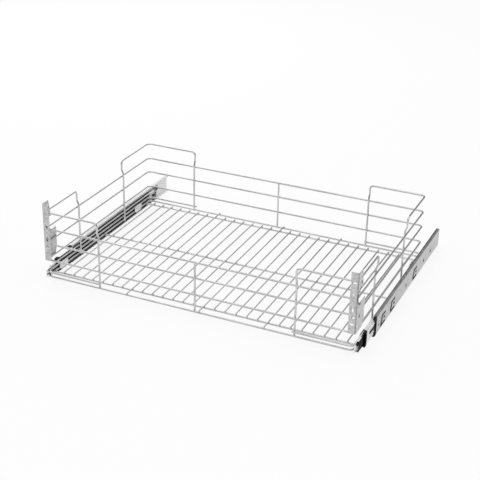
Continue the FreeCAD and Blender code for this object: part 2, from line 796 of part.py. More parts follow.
gap = size("stopGap")
for word, side in sides:
    stop = front_stop(f"{word}_front_stop", side, middle_web + size("catchThick") + gap,
                      size("slideDepth"), size("frontCapReach"), inner_row + race_back + gap,
                      size("slideHeight") / 2, size("frontStopLength"), outer_web)
    place(stop, side * slide_side, cabinet_front, slide_axis)
    pieces.append(stop)

    buffer = front_stop(f"{word}_middle_stop", side, size("middleStopReach"), middle_web,
                        size("middleCapReach"), drawer_top + 2 * gap,
                        inner_row + size("raceShoulder") + steel,
                        size("middleStopLength"), middle_web - steel)
    place(buffer, side * slide_side, middle_front, slide_axis)
    pieces.append(buffer)

    catch = new_body(f"{word}_catch")
    sketch = new_sketch(catch, "YZ_Plane", "shape", side * middle_web)
    start = size("catchStart")
    finish = start + size("catchLength")
    rise = size("catchRise")
    draw_outline(sketch, [
        Corner(start, rise - size("catchHeight") / 2), Corner(finish, -size("catchRoot") / 2),
        Corner(finish, size("catchRoot") / 2), Corner(start, rise + size("catchHeight") / 2)])
    pad(catch, sketch, size("catchThick"), "blade", rearwards=side < 0)
    place(catch, side * slide_side, middle_front, slide_axis)
    pieces.append(catch)

    lobes = new_body(f"{word}_rear_stop")
    sketch = new_sketch(lobes, "YZ_Plane", "shape", side * size("middleStopReach"))
    lobe = size("lobeHeight")
    straight = size("rearStopLength") - lobe / 2
    draw_outline(sketch, [
        Corner(0, -lobe), Corner(gap, -lobe, (gap, -lobe / 2)), Corner(gap, 0),
        Corner(straight, 0, (straight, lobe / 2)), Corner(straight, lobe), Corner(0, lobe)])
    pad(lobes, sketch, middle_web - size("middleStopReach"), "lobes", rearwards=side < 0)
    plate = new_sketch(lobes, "YZ_Plane", "plate", side * size("middleStopReach"))
    start = lobe / 2 - size("lowerLobeStart")
    draw_outline(plate, [
        Corner(start, -lobe), Corner(gap, -lobe), Corner(gap, lobe / 4),
        Corner(-lobe / 4, lobe / 4), Corner(-lobe / 4, 0),
        Corner(start, 0, (start, -lobe / 2))])
    pad(lobes, plate, middle_web - steel - size("middleStopReach"), "plate_pad",
        rearwards=side < 0)
    length = size("slideLength") - size("middleShort")
    place(lobes, side * slide_side, middle_front + length, slide_axis)
    pieces.append(lobes)


# Slides: release levers and their rivets

for word, side in sides:
    lever = new_body(f"{word}_release_lever")
    sketch = new_sketch(lever, "YZ_Plane", "shape", side * size("leverReach"))
    arm = size("leverArm") / 2
    fork = size("leverFork") / 2
    tine = size("forkGap") / 2
    tip = size("leverTip") - size("leverPivot")
    knuckle = tip + size("forkLength")
    crook = tip + size("forkLength") / 3
    hub = size("leverHub") / 2
    neck = leg_of(hub, arm)
    draw_outline(sketch, [
        Corner(-neck, -arm, (0, 0)), Corner(-neck, arm),
        Corner(knuckle, arm), Corner(crook, fork), Corner(tip, fork),
        Corner(crook, tine), Corner(crook, -tine), Corner(tip, -fork),
        Corner(crook, -fork), Corner(knuckle, -arm)])
    draw_circle(sketch, 0, 0, size("pinDiameter") + 2 * size("pinPlay"))
    pad(lever, sketch, size("leverThick"), "blade", rearwards=side < 0)
    pivot = drawer_front + size("leverPivot")
    place(lever, side * slide_side, pivot, slide_axis)
    pieces.append(lever)

    rivet = new_body(f"{word}_lever_rivet")
    head_start = size("leverReach") + size("leverThick") + size("pinPlay")
    shank = new_sketch(rivet, "YZ_Plane", "shank", side * steel)
    draw_circle(shank, 0, 0, size("pinDiameter"))
    pad(rivet, shank, head_start - steel, "shank_pad", rearwards=side < 0)
    head = new_sketch(rivet, "YZ_Plane", "head", side * head_start)
    draw_circle(head, 0, 0, size("pinHead"))
    pad(rivet, head, size("pinPlay") * 3, "head_pad", rearwards=side < 0)
    place(rivet, side * slide_side, pivot, slide_axis)
    pieces.append(rivet)


# Mounting plates and the screws that hold the slides to the basket

plate_face = wire + size("plateSteel")
for word, side in sides:
    plates = []
    screws = []
    for spot, y in (("front", front_line + size("frontPlate")),
                    ("rear", rear_line - size("rearPlate"))):
        plate = new_body(f"{word}_{spot}_plate")
        sketch = new_sketch(plate, "YZ_Plane", "shape", -side * plate_face)
        high = size("plateHeight") / 2
        draw_slot(sketch, as_size(0), as_size(0), size("plateLength"), size("plateHeight"))
        draw_circle(sketch, 0, 0, size("screwDiameter") + 2 * size("screwPlay"))
        pad(plate, sketch, size("plateSteel"), "plate", rearwards=side < 0)
        place(plate, side * slide_side, y, slide_axis)
        plates.append(plate)

        screw = new_body(f"{word}_{spot}_screw")
        head = new_sketch(screw, "YZ_Plane", "head", -side * (plate_face + size("headHeight")))
        draw_circle(head, 0, 0, size("screwHead"))
        pad(screw, head, size("headHeight"), "head_pad", rearwards=side < 0)
        shank = new_sketch(screw, "YZ_Plane", "shank", -side * plate_face)
        draw_circle(shank, 0, 0, size("screwDiameter"))
        pad(screw, shank, plate_face + size("screwEnd"), "shank_pad", rearwards=side < 0)
        place(screw, side * slide_side, y, slide_axis)
        screws.append(screw)
    pieces.append(group(f"{word}_mounting_plates", plates))
    pieces.append(group(f"{word}_slide_screws", screws))


# Front brackets: folded angles outside the corners of the rails, hooked over two of them

for word, side in sides:
    bracket = new_body(f"{word}_front_bracket")
    sheet_steel = size("bracketSteel")
    low = size("bracketBottom")
    high = size("bracketTop")
    fold = size("foldRadius")
    inner_fold = fold - sheet_steel
    front = fold - sheet_steel - wire / 2
    turn = side * (sheet_steel - fold)
    face = new_sketch(bracket, "XZ_Plane", "face", wire / 2)
    draw_box(face, turn, low, side * (sheet_steel - size("bracketFace")), high)
    pad(bracket, face, sheet_steel, "face_pad")

    corner = new_sketch(bracket, "XY_Plane", "fold", low)
    draw_outline(corner, [
        Corner(turn, front - fold, (turn, front), side < 0),
        Corner(side * sheet_steel, front), Corner(0, front, (turn, front), side > 0),
        Corner(turn, front - inner_fold)])
    pad(bracket, corner, high - low, "fold_pad")

    flank = new_sketch(bracket, "YZ_Plane", "flank")
    hook_low = size("middleRailRise") + size("hookLow")
    hook_high = size("middleRailRise") + size("hookHigh")
    hook_middle = (hook_low + hook_high) / 2
    half_hook = (hook_high - hook_low) / 2
    bow = size("hookBow")
    centre = (size("hookDepth") + leg_of(bow, half_hook), hook_middle)
    draw_outline(flank, [
        Corner(front, low), Corner(size("footReach"), low),
        Corner(size("sideReach"), low + size("footRise")),
        Corner(size("sideReach"), hook_low),
        Corner(size("hookDepth"), hook_low, centre, True),
        Corner(size("hookDepth"), hook_high),
        Corner(size("waistReach"), hook_high),
        Corner(size("topReach"), high), Corner(front, high)])
    pad(bracket, flank, sheet_steel, "flank_pad", rearwards=side < 0)

    for spot, rise in (("upper", size("loopRise")), ("lower", size("middleRailRise"))):
        claw = new_sketch(bracket, "XZ_Plane", f"{spot}_claw", -size("clawSet"))
        over = rise + wire / 2
        draw_outline(claw, [
            Corner(0, over), Corner(-side * wire, over),
            Corner(-side * wire, over - size("clawDrop")),
            Corner(-side * (wire + sheet_steel), over - size("clawDrop")),
            Corner(-side * (wire + sheet_steel), over + sheet_steel),
            Corner(0, over + sheet_steel)])
        pad(bracket, claw, size("clawWidth"), f"{spot}_claw_pad")

    slots = new_sketch(bracket, "XZ_Plane", "slots")
    x = side * (sheet_steel - size("slotInset"))
    for alias in ("topSlot", "upperSlot", "lowSlot"):
        draw_slot(slots, x, size(alias), size("slotLength"), size("slotWidth"))
    draw_slot(slots, x, size("uprightSlot"), size("slotLength"), size("slotWidth") * 0.8,
              upright=True)
    draw_circle(slots, x, size("pairSlot") + size("slotWidth"), size("slotWidth") * 0.8)
    draw_slot(slots, x, size("pairSlot") - size("slotWidth") / 2, size("slotLength") * 0.7,
              size("slotWidth") * 0.5)
    pocket_through(bracket, slots, "slot_cuts")
    hole = new_sketch(bracket, "YZ_Plane", "hole")
    draw_circle(hole, size("sideHoleSet"), size("middleRailRise") - size("sideHoleFall"),
                size("sideHole"))
    pocket_through(bracket, hole, "hole_cut")
    place(bracket, side * slide_side, front_line, ring)
    pieces.append(bracket)


# Recompute, check and write

doc.recompute()
faults = [thing.Label for thing in doc.Objects
          if "Invalid" in thing.State or "Error" in thing.State]
if faults:
    raise RuntimeError("failed objects: " + ", ".join(faults))
for piece in pieces:
    if piece.Shape.isNull() or not piece.Shape.isValid() or not piece.Shape.Solids:
        raise RuntimeError("bad shape: " + piece.Label)

os.makedirs("parts", exist_ok=True)
for piece in pieces:
    piece.Shape.exportStep(f"parts/{piece.Label}.step")
    box = piece.Shape.BoundBox
    print(f"{piece.Label}: {len(piece.Shape.Solids)} solids, {piece.Shape.Volume:.0f} mm3, "
          f"x {box.XMin:.1f} {box.XMax:.1f} y {box.YMin:.1f} {box.YMax:.1f} "
          f"z {box.ZMin:.1f} {box.ZMax:.1f}")
print(len(pieces), "pieces written")
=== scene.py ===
import json
import math
from functools import reduce
import bmesh
import bpy
import numpy as np
from mathutils import Matrix, Vector


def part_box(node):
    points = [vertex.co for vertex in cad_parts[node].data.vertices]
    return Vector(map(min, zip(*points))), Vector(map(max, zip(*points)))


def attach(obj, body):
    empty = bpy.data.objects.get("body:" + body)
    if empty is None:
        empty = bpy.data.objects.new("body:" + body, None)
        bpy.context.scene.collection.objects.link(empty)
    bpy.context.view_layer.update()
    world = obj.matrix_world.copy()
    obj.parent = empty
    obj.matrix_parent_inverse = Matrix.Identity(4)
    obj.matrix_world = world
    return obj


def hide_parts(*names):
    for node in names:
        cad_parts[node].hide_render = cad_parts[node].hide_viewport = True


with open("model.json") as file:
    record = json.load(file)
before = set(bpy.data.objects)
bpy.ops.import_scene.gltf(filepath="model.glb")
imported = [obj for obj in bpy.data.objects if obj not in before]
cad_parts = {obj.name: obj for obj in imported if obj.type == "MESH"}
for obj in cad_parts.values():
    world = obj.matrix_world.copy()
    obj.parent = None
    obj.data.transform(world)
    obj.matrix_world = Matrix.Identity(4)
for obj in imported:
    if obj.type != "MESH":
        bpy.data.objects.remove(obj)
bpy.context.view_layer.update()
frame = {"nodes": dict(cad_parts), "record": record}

print("frame loaded:", len(frame["nodes"]), "pieces of metal and plastic")

# Everything is in metres: X across the cabinet, Y from front to rear, Z up. The dictionaries
# of values hold millimetres, except where a note says otherwise.
mm = 0.001
rng = np.random.default_rng(7)
sides = (("left", -1.0), ("right", 1.0))


# Places taken from the frame

def edges(node):
    low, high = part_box(node)
    return np.array(low), np.array(high)


ringLow, ringHigh = edges("bottom_ring")
wireRadius = (ringHigh[2] - ringLow[2]) / 2
ringZ = ringLow[2] + wireRadius
halfWidth = ringHigh[0] - wireRadius
frontY = ringLow[1] + wireRadius
rearY = ringHigh[1] - wireRadius
slideX = halfWidth + wireRadius  # basket side of the right slide
cabinetLow, cabinetHigh = edges("right_cabinet_member")
middleLow, middleHigh = edges("right_middle_member")
drawerLow, drawerHigh = edges("right_drawer_member")
axisZ = (cabinetLow[2] + cabinetHigh[2]) / 2
outerX = cabinetHigh[0]
railZ = [edges(name)[0][2] + wireRadius for name in ("lower_rail", "middle_rail", "upper_rail")]


# Shader maths: a wrapped socket takes part in plain expressions

class Value:
    def __init__(self, nodes, socket):
        self.nodes, self.socket = nodes, socket

    def joined(self, operation, *parts, clamp=False):
        return self.nodes.node("ShaderNodeMath", {"operation": operation, "use_clamp": clamp},
                               dict(enumerate(parts)))

    def __add__(self, other): return self.joined("ADD", self, other)
    def __radd__(self, other): return self.joined("ADD", other, self)
    def __sub__(self, other): return self.joined("SUBTRACT", self, other)
    def __rsub__(self, other): return self.joined("SUBTRACT", other, self)
    def __mul__(self, other): return self.joined("MULTIPLY", self, other)
    def __rmul__(self, other): return self.joined("MULTIPLY", other, self)
    def __truediv__(self, other): return self.joined("DIVIDE", self, other)
    def __rtruediv__(self, other): return self.joined("DIVIDE", other, self)
    def __pow__(self, other): return self.joined("POWER", self, other)
    def __rpow__(self, other): return self.joined("POWER", other, self)
    def __abs__(self): return self.joined("ABSOLUTE", self)
    def clamped(self): return self.joined("ADD", self, 0.0, clamp=True)
    def greatest(self, other): return self.joined("MAXIMUM", self, other)

    def between(self, first, last):  # first where this is 0, last where it is 1
        return self * (last - first) + first

    def rise(self, low, high):  # 0 below low, 1 above high, straight between
        return ((self - low) / (high - low)).clamped()

    def band(self, low, high, soft):  # 1 between low and high
        return self.rise(low - soft, low + soft) * (1.0 - self.rise(high - soft, high + soft))

    def past(self, place, span):  # rises over a span given in millimetres from a place
        return self.rise(place + span[0] * mm, place + span[1] * mm)

    def upTo(self, place, span):  # falls over it
        return 1.0 - self.past(place, span)


def radial(aside, up):  # how far a point lies from a centre
    return (aside ** 2 + up ** 2) ** 0.5


def weighed(layers, weights):  # each layer times its weight, added up
    return reduce(Value.__add__, [layer * weight for layer, weight in zip(layers, weights)])


class Nodes:
    def __init__(self, tree):
        self.tree = tree

    # Settings are set first, then the values or links of sockets, by name or number.
    def node(self, kind, settings=None, sockets=None, output=0):
        node = self.tree.nodes.new(kind)
        for name, item in (settings or {}).items():
            setattr(node, name, item)
        for slot, item in (sockets or {}).items():
            self.feed(node.inputs[slot], item)
        return Value(self, node.outputs[output])

    def feed(self, slot, item):
        if isinstance(item, Value):
            self.tree.links.new(item.socket, slot)
        else:
            slot.default_value = (*item, 1.0) if slot.type == "RGBA" else item

    def blend(self, amount, first, second):  # the second colour where amount is 1
        return self.node("ShaderNodeMix", {"data_type": "RGBA"},
                         {0: amount, 6: first, 7: second}, output=2)

    def split(self, vector):
        parts = self.node("ShaderNodeSeparateXYZ", sockets={0: vector}).socket.node
        return [Value(self, socket) for socket in parts.outputs]


class Finish(Nodes):
    def __init__(self, name):
        self.material = bpy.data.materials.new(name)
        self.material.use_nodes = True
        super().__init__(self.material.node_tree)
        self.tree.nodes.clear()
        self.surface = self.tree.nodes.new("ShaderNodeOutputMaterial").inputs["Surface"]
        self.shader = self.node("ShaderNodeBsdfPrincipled")
        self.feed(self.surface, self.shader)

    def set(self, **sockets):  # an underscore stands for the space in a socket's name
        for name, item in sockets.items():
            self.feed(self.shader.socket.node.inputs[name.replace("_", " ")], item)

    def cover(self, amount, shader):  # another shader where amount is 1
        self.feed(self.surface, self.node(
            "ShaderNodeMixShader", sockets={0: amount, 1: self.shader, 2: shader}))

    def place(self):  # object coordinates
        return self.node("ShaderNodeTexCoord", output="Object")

    def noise(self, scale, detail=2.0, roughness=0.5, stretch=(1.0, 1.0, 1.0)):
        where = self.node("ShaderNodeMapping", sockets={"Vector": self.place(), "Scale": stretch})
        return self.node("ShaderNodeTexNoise", sockets={
            "Vector": where, "Scale": scale, "Detail": detail, "Roughness": roughness})

    def layers(self, values, *names):  # the noises that these names hold
        return [self.noise(*values[name]) for name in names]

    def bump(self, height, strength, distance):
        return self.node("ShaderNodeBump", sockets={
            "Strength": strength, "Distance": distance, "Height": height})


# Finishes. A noise is given as scale, detail, roughness and stretch, a roughness as the
# values at mask 0 and 1, and a bump as strength and distance in metres. "weights" adds up
# the layers to a mask, less its "fall", and "relief" does so for the bump.

wireValues = {
    "dark": (0.46, 0.46, 0.465), "light": (0.74, 0.74, 0.745), "roughness": (0.09, 0.23),
    "cloud": (16.0, 4.0, 0.6), "grain": (260.0, 3.0), "fine": (1200.0, 2.0),
    "weights": (1.4, 0.6), "fall": 0.5, "relief": (0.5, 0.5), "bump": (0.14, 0.0002),
}


def platedWire():  # bright plating under a faint cloud and grain
    f, v = Finish("platedWire"), wireValues
    cloud, grain, fine = f.layers(v, "cloud", "grain", "fine")
    mask = (weighed((cloud, grain), v["weights"]) - v["fall"]).clamped()
    f.set(Base_Color=f.blend(mask, v["dark"], v["light"]), Metallic=1.0,
          Roughness=mask.between(*v["roughness"]),
          Normal=f.bump(weighed((fine, grain), v["relief"]), *v["bump"]))
    return f.material


# For each side, "top" holds painted shade: the upper face's colours from front to rear,
# darker on the right and there darkening towards the rear. "lips" holds where the lip ends
# and the channel's grease and painted shade begin, and how much light is painted on the lip.
slideValues = {
    "faceDark": (0.32, 0.32, 0.325), "faceLight": (0.60, 0.60, 0.605),
    "lipDark": (0.66, 0.665, 0.67), "lipLight": (0.88, 0.88, 0.88),
    "top": {"left": ((0.28, 0.28, 0.285), (0.32, 0.32, 0.325)),
            "right": ((0.24, 0.24, 0.245), (0.11, 0.11, 0.112))},
    "topFace": (-0.6, -0.2), "topShine": 0.25,
    "lips": {"left": (8.3, 0.6), "right": (5.0, 0.0)},
    "paintedLitDark": (0.92, 0.92, 0.92), "paintedLitLight": (0.97, 0.97, 0.97),
    "grease": (0.02, 0.02, 0.021), "cover": 0.94, "film": 0.35, "smear": 14.0,
    "roughness": (0.20, 0.40), "bump": (0.16, 0.0002),
    "lines": (1.0, 3.0, 0.6, (700.0, 4.0, 700.0)), "cloud": (34.0, 5.0, 0.65),
    "speckle": (330.0, 4.0, 0.75), "scratch": (1.0, 4.0, 0.7, (300.0, 40.0, 120.0)),
    "blotch": (1.0, 2.0, 0.6, (150.0, 90.0, 150.0)),
    "weights": (0.4, 0.5, 2.0, 0.8, 1.2), "fall": 1.95, "relief": (0.6, 0.4),
}


# Rolled, plated strip. Light and dark follow die lines drawn out along the run, broken by a
# cloud, blotches, scratches and a fine speckle. hidden(x, y, z) gives where grease and painted
# shade lie, under a black matt cover, and the fifth argument where light is painted on as white
# matt zinc; z counts from the slide's axis.
def rolledSteel(name, dark, light, hidden, paintedLightAt, top=None):
    f, v = Finish(name), slideValues
    x, y, z = f.split(f.place())
    x, z = abs(x), z - axisZ
    layers = f.layers(v, "lines", "cloud", "blotch", "speckle", "scratch")
    lines, cloud, speckle = layers[0], layers[1], layers[3]
    mask = (weighed(layers, v["weights"]) - v["fall"]).clamped()
    colour = f.blend(mask, dark, light)
    smeared = y + (cloud - 0.5) * (v["smear"] * mm)
    greaseAndShadeMask = hidden(x, smeared, z)
    # painted shade on the upper face, set per side and from front to rear
    if top:
        along = f.blend(y.rise(cabinetLow[1], cabinetHigh[1]), *top)
        colour = f.blend(abs(z).past(axisZ, v["topFace"]), colour,
                         f.blend(mask * v["topShine"], along, light))
        greaseAndShadeMask = greaseAndShadeMask.greatest(paintedCutShade(y, z))
    # painted light: white matt zinc where the members stand open, on top bends and on lips
    paintedLight = paintedLightAt(x, y, z)
    f.set(Base_Color=f.blend(paintedLight, colour, f.blend(mask, v["paintedLitDark"], v["paintedLitLight"])),
          Metallic=1.0 - paintedLight, Roughness=mask.between(*v["roughness"]),
          Normal=f.bump(weighed((lines, speckle), v["relief"]), *v["bump"]))
    # grease and painted shade, as a black matt cover
    f.cover(greaseAndShadeMask * v["cover"], f.node("ShaderNodeBsdfDiffuse", sockets={"Color": v["grease"]}))
    return f.material


def greaseAndShade(amount):  # grease and painted shade: a thin dark coat, thick and black where amount is 1
    return amount.between(slideValues["film"], 1.0)


# "cuts" holds where each E-shaped cut starts, and "holes" the place and radius of each hole.
cutValues = {
    "cuts": (33.0, 110.0, 301.0), "fall": 5.5, "length": 34.0, "height": 28.0,
    "stroke": 3.6, "back": 7.0, "step": 5.0, "shadeReach": 1.5, "soft": 0.5,
    "holes": ((17.0, 3.6), (241.0, 5.2), (401.0, 5.4), (465.0, 5.6)), "rim": 0.6,
    "cover": 0.9,
}


def paintedCutShade(y, z):  # painted shade: a dark edge round the strokes of the E-shaped cuts and the holes
    v = cutValues
    fall, half, step, length = v["fall"], v["stroke"] / 2, v["step"], v["length"]
    low, high = -fall - v["height"] / 2, -fall + v["height"] / 2
    grown, soft = v["shadeReach"] * mm, v["soft"] * mm
    strokes = [(first, last, z.band(bottom * mm - grown, top * mm + grown, soft))
               for first, last, bottom, top in (
                   (0.0, length, low, low + v["stroke"]),
                   (0.0, v["back"], low, half - fall),
                   (step, step + v["back"], -half - fall, high),
                   (step, length, high - v["stroke"], high),
                   (length - 2 * step, length, -half - fall, half - fall))]
    shadeMarks = [across * y.band(cabinetLow[1] + (start + first) * mm - grown,
                             cabinetLow[1] + (start + last) * mm + grown, soft)
             for start in v["cuts"] for first, last, across in strokes]
    for place, radius in v["holes"]:
        out = radial(y - (cabinetLow[1] + place * mm), z + fall * mm)
        shadeMarks.append(out.upTo(0.0, (radius - v["rim"], radius)))
    return reduce(Value.greatest, shadeMarks) * v["cover"]


# Masks on the members. Each pair gives where a mask starts to change and where it is done,
# outwards from the slide's basket side, rearwards from a member's end or up from the axis.
# "walls", "channelBack" and "outerFace" count from the outer face, "inside" from the edges.
cabinetValues = {
    "walls": (-1.16, -0.10), "wallSoft": 0.03, "channelBack": -1.18, "channelSoft": 0.02,
    "track": (14, 17), "covered": (-6, 2), "inside": (-1.7, -1.2),
    "open": (0, 6), "outerFace": (-0.14, -0.06), "insideLit": (-1.5, -1.0),
    "lipBack": (7.9, 8.5),
}


def cabinetInside(x, y, z, lip):  # painted shade on the walls of the cuts, and grease and painted shade in the channel up to the lips
    v = cabinetValues
    walls = x.band(outerX + v["walls"][0] * mm, outerX + v["walls"][1] * mm, v["wallSoft"] * mm)
    channel = x.band(slideX + lip * mm, outerX + v["channelBack"] * mm, v["channelSoft"] * mm)
    coat = greaseAndShade(abs(z).past(0.0, v["track"])) * y.upTo(middleHigh[1], v["covered"])
    return walls.greatest(channel * coat) * abs(z).upTo(axisZ, v["inside"])


def cabinetPaintedLight(x, y, z, paintedLight):  # painted light, as white matt zinc, on the channel's rear end and the curled lips
    v = cabinetValues
    channel = y.past(middleHigh[1], v["open"]) * x.upTo(outerX, v["outerFace"])
    channel = channel * abs(z).upTo(axisZ, v["insideLit"])
    return channel.greatest(x.upTo(slideX, v["lipBack"]) * paintedLight)


middleValues = {
    "run": (3, 2), "runSoft": 5, "web": (9.0, 9.3), "webFilm": 0.8, "race": (8.6, 8.9),
    "track": (9, 12), "raceTop": (18.6, 19.2), "flange": (19.0, 19.6), "flangeShade": 0.75,
    "lip": (5.2, 5.8), "lipTop": (19.4, 19.9),
    "open": (-2, 5), "litWeb": (7.0, 7.6), "litFlange": (19.6, 19.9), "ahead": (0, 4),
    "paintedLight": 0.7,
}


def middleInside(x, y, z):  # grease and painted shade on the covered part of the web, and on the races, flange and lips
    v = middleValues
    run = y.band(cabinetLow[1] + v["run"][0] * mm, drawerHigh[1] + v["run"][1] * mm,
                 v["runSoft"] * mm)
    web = x.past(slideX, v["web"]) * (slideValues["film"] * v["webFilm"])
    race = (x.upTo(slideX, v["race"]) * greaseAndShade(abs(z).past(0.0, v["track"]))
            * abs(z).upTo(0.0, v["raceTop"]))
    flange = z.past(0.0, v["flange"]) * v["flangeShade"]
    lip = x.upTo(slideX, v["lip"]) * abs(z).upTo(0.0, v["lipTop"])
    return (web.greatest(race).greatest(flange) * run).greatest(lip)


def middlePaintedLight(x, y, z):  # painted light on the web behind the drawer member's rear end, and on the flange's front
    v = middleValues
    web = y.past(drawerHigh[1], v["open"]) * x.past(slideX, v["litWeb"])
    flange = z.past(0.0, v["litFlange"]) * y.upTo(cabinetLow[1], v["ahead"])
    return web.greatest(flange * v["paintedLight"])


drawerValues = {
    "bend": (13.0, 13.6), "paintedLight": 0.8, "face": (0.4, 0.8), "front": (34, 44),
    "lever": (57, 115), "leverSoft": 5, "channel": (0.9, 1.1), "covered": (52, 62),
    "track": (9, 12), "race": (2.4, 3.0),
}


def drawerInside(x, y, z):  # dark web towards the basket, grease and painted shade in the channel and races, clean front end
    v = drawerValues
    behind = y.past(drawerLow[1], v["front"])
    basket = x.upTo(slideX, v["face"]) * behind
    lever = y.band(drawerLow[1] + v["lever"][0] * mm, drawerLow[1] + v["lever"][1] * mm,
                   v["leverSoft"] * mm)
    coat = greaseAndShade(abs(z).past(0.0, v["track"]).greatest(lever))
    channel = x.past(slideX, v["channel"]) * y.past(drawerLow[1], v["covered"]) * coat
    race = x.past(slideX, v["race"]) * behind
    return (basket.greatest(channel) * z.upTo(0.0, v["bend"])).greatest(race)


def drawerPaintedLight(x, y, z):  # painted light on the top bend
    return z.past(0.0, drawerValues["bend"]) * drawerValues["paintedLight"]


stripValues = {
    "dark": (0.03, 0.03, 0.03), "light": (0.16, 0.155, 0.15), "metallic": 0.8,
    "roughness": (0.25, 0.55), "coat": (1.0, 4.0, 0.6, (80.0, 20.0, 80.0)),
    "grain": (500.0, 2.0), "relief": (0.5, 0.5), "bump": (0.15, 0.0002),
}


def greaseAndShadeStrip():  # the ball cages' steel, near black under patchy grease and painted shade
    f, v = Finish("greaseAndShadeStrip"), stripValues
    coat, grain = f.layers(v, "coat", "grain")
    f.set(Base_Color=f.blend(coat, v["dark"], v["light"]), Metallic=v["metallic"],
          Roughness=coat.between(*v["roughness"]),
          Normal=f.bump(weighed((grain, coat), v["relief"]), *v["bump"]))
    return f.material


# Painted shade: spots along and up on the flange, in the crevices at the rails' corners, a band
# round the hook opening's edge, a band along the fold behind the front sheet, and "shades"
# round the slots of the left sheet as height, half width, half height.
bracketValues = {
    "dark": (0.36, 0.36, 0.365), "light": (0.76, 0.76, 0.765), "shade": (0.03, 0.03, 0.03),
    "metallic": 0.9, "roughness": (0.32, 0.52), "bump": (0.2, 0.0003),
    "cloud": (70.0, 5.0, 0.65), "blotch": (170.0, 2.0, 0.6), "speckle": (300.0, 4.0, 0.75),
    "drawn": (8.0, 3.0, 0.5, (90.0, 90.0, 12.0)), "weights": (0.8, 2.0, 0.8, 0.4),
    "fall": 1.5, "relief": (0.6, 0.4), "cover": 0.9, "flange": (-0.2, 0.0),
    "creviceShades": ((20.5, 172.0), (21.0, 148.5), (17.0, 126.0), (16.5, 85.5)),
    "creviceShade": (4.4, 5.6), "wander": 1.5,
    "hook": (21.94, 139.0), "bow": (25.4, 26.2), "bowEnd": (16, 20),
    "fold": (-1.6, -0.4), "foldFront": (-2.2, -1.6), "foldShade": 0.45,
    "sheet": (-2.4, -2.0), "slotPlace": -9.0, "shadeEdge": (0.85, 1.05),
    "shades": ((142.0, 2.9, 5.6), (107.0, 3.1, 6.4), (88.0, 4.0, 3.4)),
}


def stampedZinc():  # dull zinc with blotches, and painted shade in crevices, along edges and folds and round slots
    f, v = Finish("stampedZinc"), bracketValues
    layers = f.layers(v, "cloud", "blotch", "speckle", "drawn")
    cloud, speckle = layers[0], layers[2]
    mask = (weighed(layers, v["weights"]) - v["fall"]).clamped()
    x, y, z = f.split(f.place())
    along, up = y - frontY, z - ringZ
    # painted shadows in the crevices where the rails' corners meet the flange
    creviceShades = [(radial(along - place * mm, up - height * mm) + cloud * (v["wander"] * mm)).upTo(
        0.0, v["creviceShade"]) for place, height in v["creviceShades"]]
    out = radial(along - v["hook"][0] * mm, up - v["hook"][1] * mm)
    bow = out.upTo(0.0, v["bow"]) * along.upTo(0.0, v["bowEnd"])
    shadeMarks = reduce(Value.greatest, creviceShades).greatest(bow) * abs(x).past(slideX, v["flange"])
    fold = (abs(x).past(slideX, v["fold"]) * along.upTo(0.0, v["foldFront"])
            * v["foldShade"])
    dark = (shadeMarks * v["cover"]).greatest(fold)
    sheet = along.upTo(0.0, v["sheet"]) * v["cover"]
    for height, halfWide, halfTall in v["shades"]:
        aside = (x + (slideX + v["slotPlace"] * mm)) / (halfWide * mm)
        spot = radial(aside, (up - height * mm) / (halfTall * mm))
        dark = dark.greatest((1.0 - spot.rise(*v["shadeEdge"])) * sheet)
    f.set(Base_Color=f.blend(dark, f.blend(mask, v["dark"], v["light"]), v["shade"]),
          Metallic=v["metallic"], Roughness=mask.between(*v["roughness"]),
          Normal=f.bump(weighed((speckle, cloud), v["relief"]), *v["bump"]))
    return f.material


brightValues = {
    "dark": (0.68, 0.68, 0.685), "light": (0.90, 0.90, 0.90), "metallic": 0.4,
    "roughness": (0.28, 0.48), "cloud": (70.0, 4.0, 0.6),
    "drawn": (1.0, 3.0, 0.5, (400.0, 30.0, 400.0)), "weights": (0.6, 0.4),
    "bump": (0.12, 0.0002),
}


def brightPlate():  # clean plating with faint drawn lines
    f, v = Finish("brightPlate"), brightValues
    cloud, drawn = f.layers(v, "cloud", "drawn")
    f.set(Base_Color=f.blend(weighed((cloud, drawn), v["weights"]), v["dark"], v["light"]),
          Metallic=v["metallic"], Roughness=cloud.between(*v["roughness"]),
          Normal=f.bump(drawn, *v["bump"]))
    return f.material


plasticValues = {
    "dark": (0.008, 0.008, 0.009), "light": (0.020, 0.020, 0.022), "roughness": (0.50, 0.70),
    "shine": 0.18, "grain": (1400.0, 2.0), "cloud": (60.0, 3.0), "bump": (0.25, 0.0002),
}


def mouldedPlastic():  # black, with a fine moulded grain
    f, v = Finish("mouldedPlastic"), plasticValues
    grain, cloud = f.layers(v, "grain", "cloud")
    f.set(Base_Color=f.blend(cloud, v["dark"], v["light"]), Specular_IOR_Level=v["shine"],
          Roughness=grain.between(*v["roughness"]), Normal=f.bump(grain, *v["bump"]))
    return f.material


bearingValues = {"dark": (0.45, 0.45, 0.45), "light": (0.78, 0.78, 0.79),
                 "roughness": (0.06, 0.18), "grease": (350.0, 3.0)}


def bearingSteel():  # polished balls with traces of grease
    f, v = Finish("bearingSteel"), bearingValues
    grease = f.noise(*v["grease"])
    f.set(Base_Color=f.blend(grease, v["dark"], v["light"]), Metallic=1.0,
          Roughness=grease.between(*v["roughness"]))
    return f.material


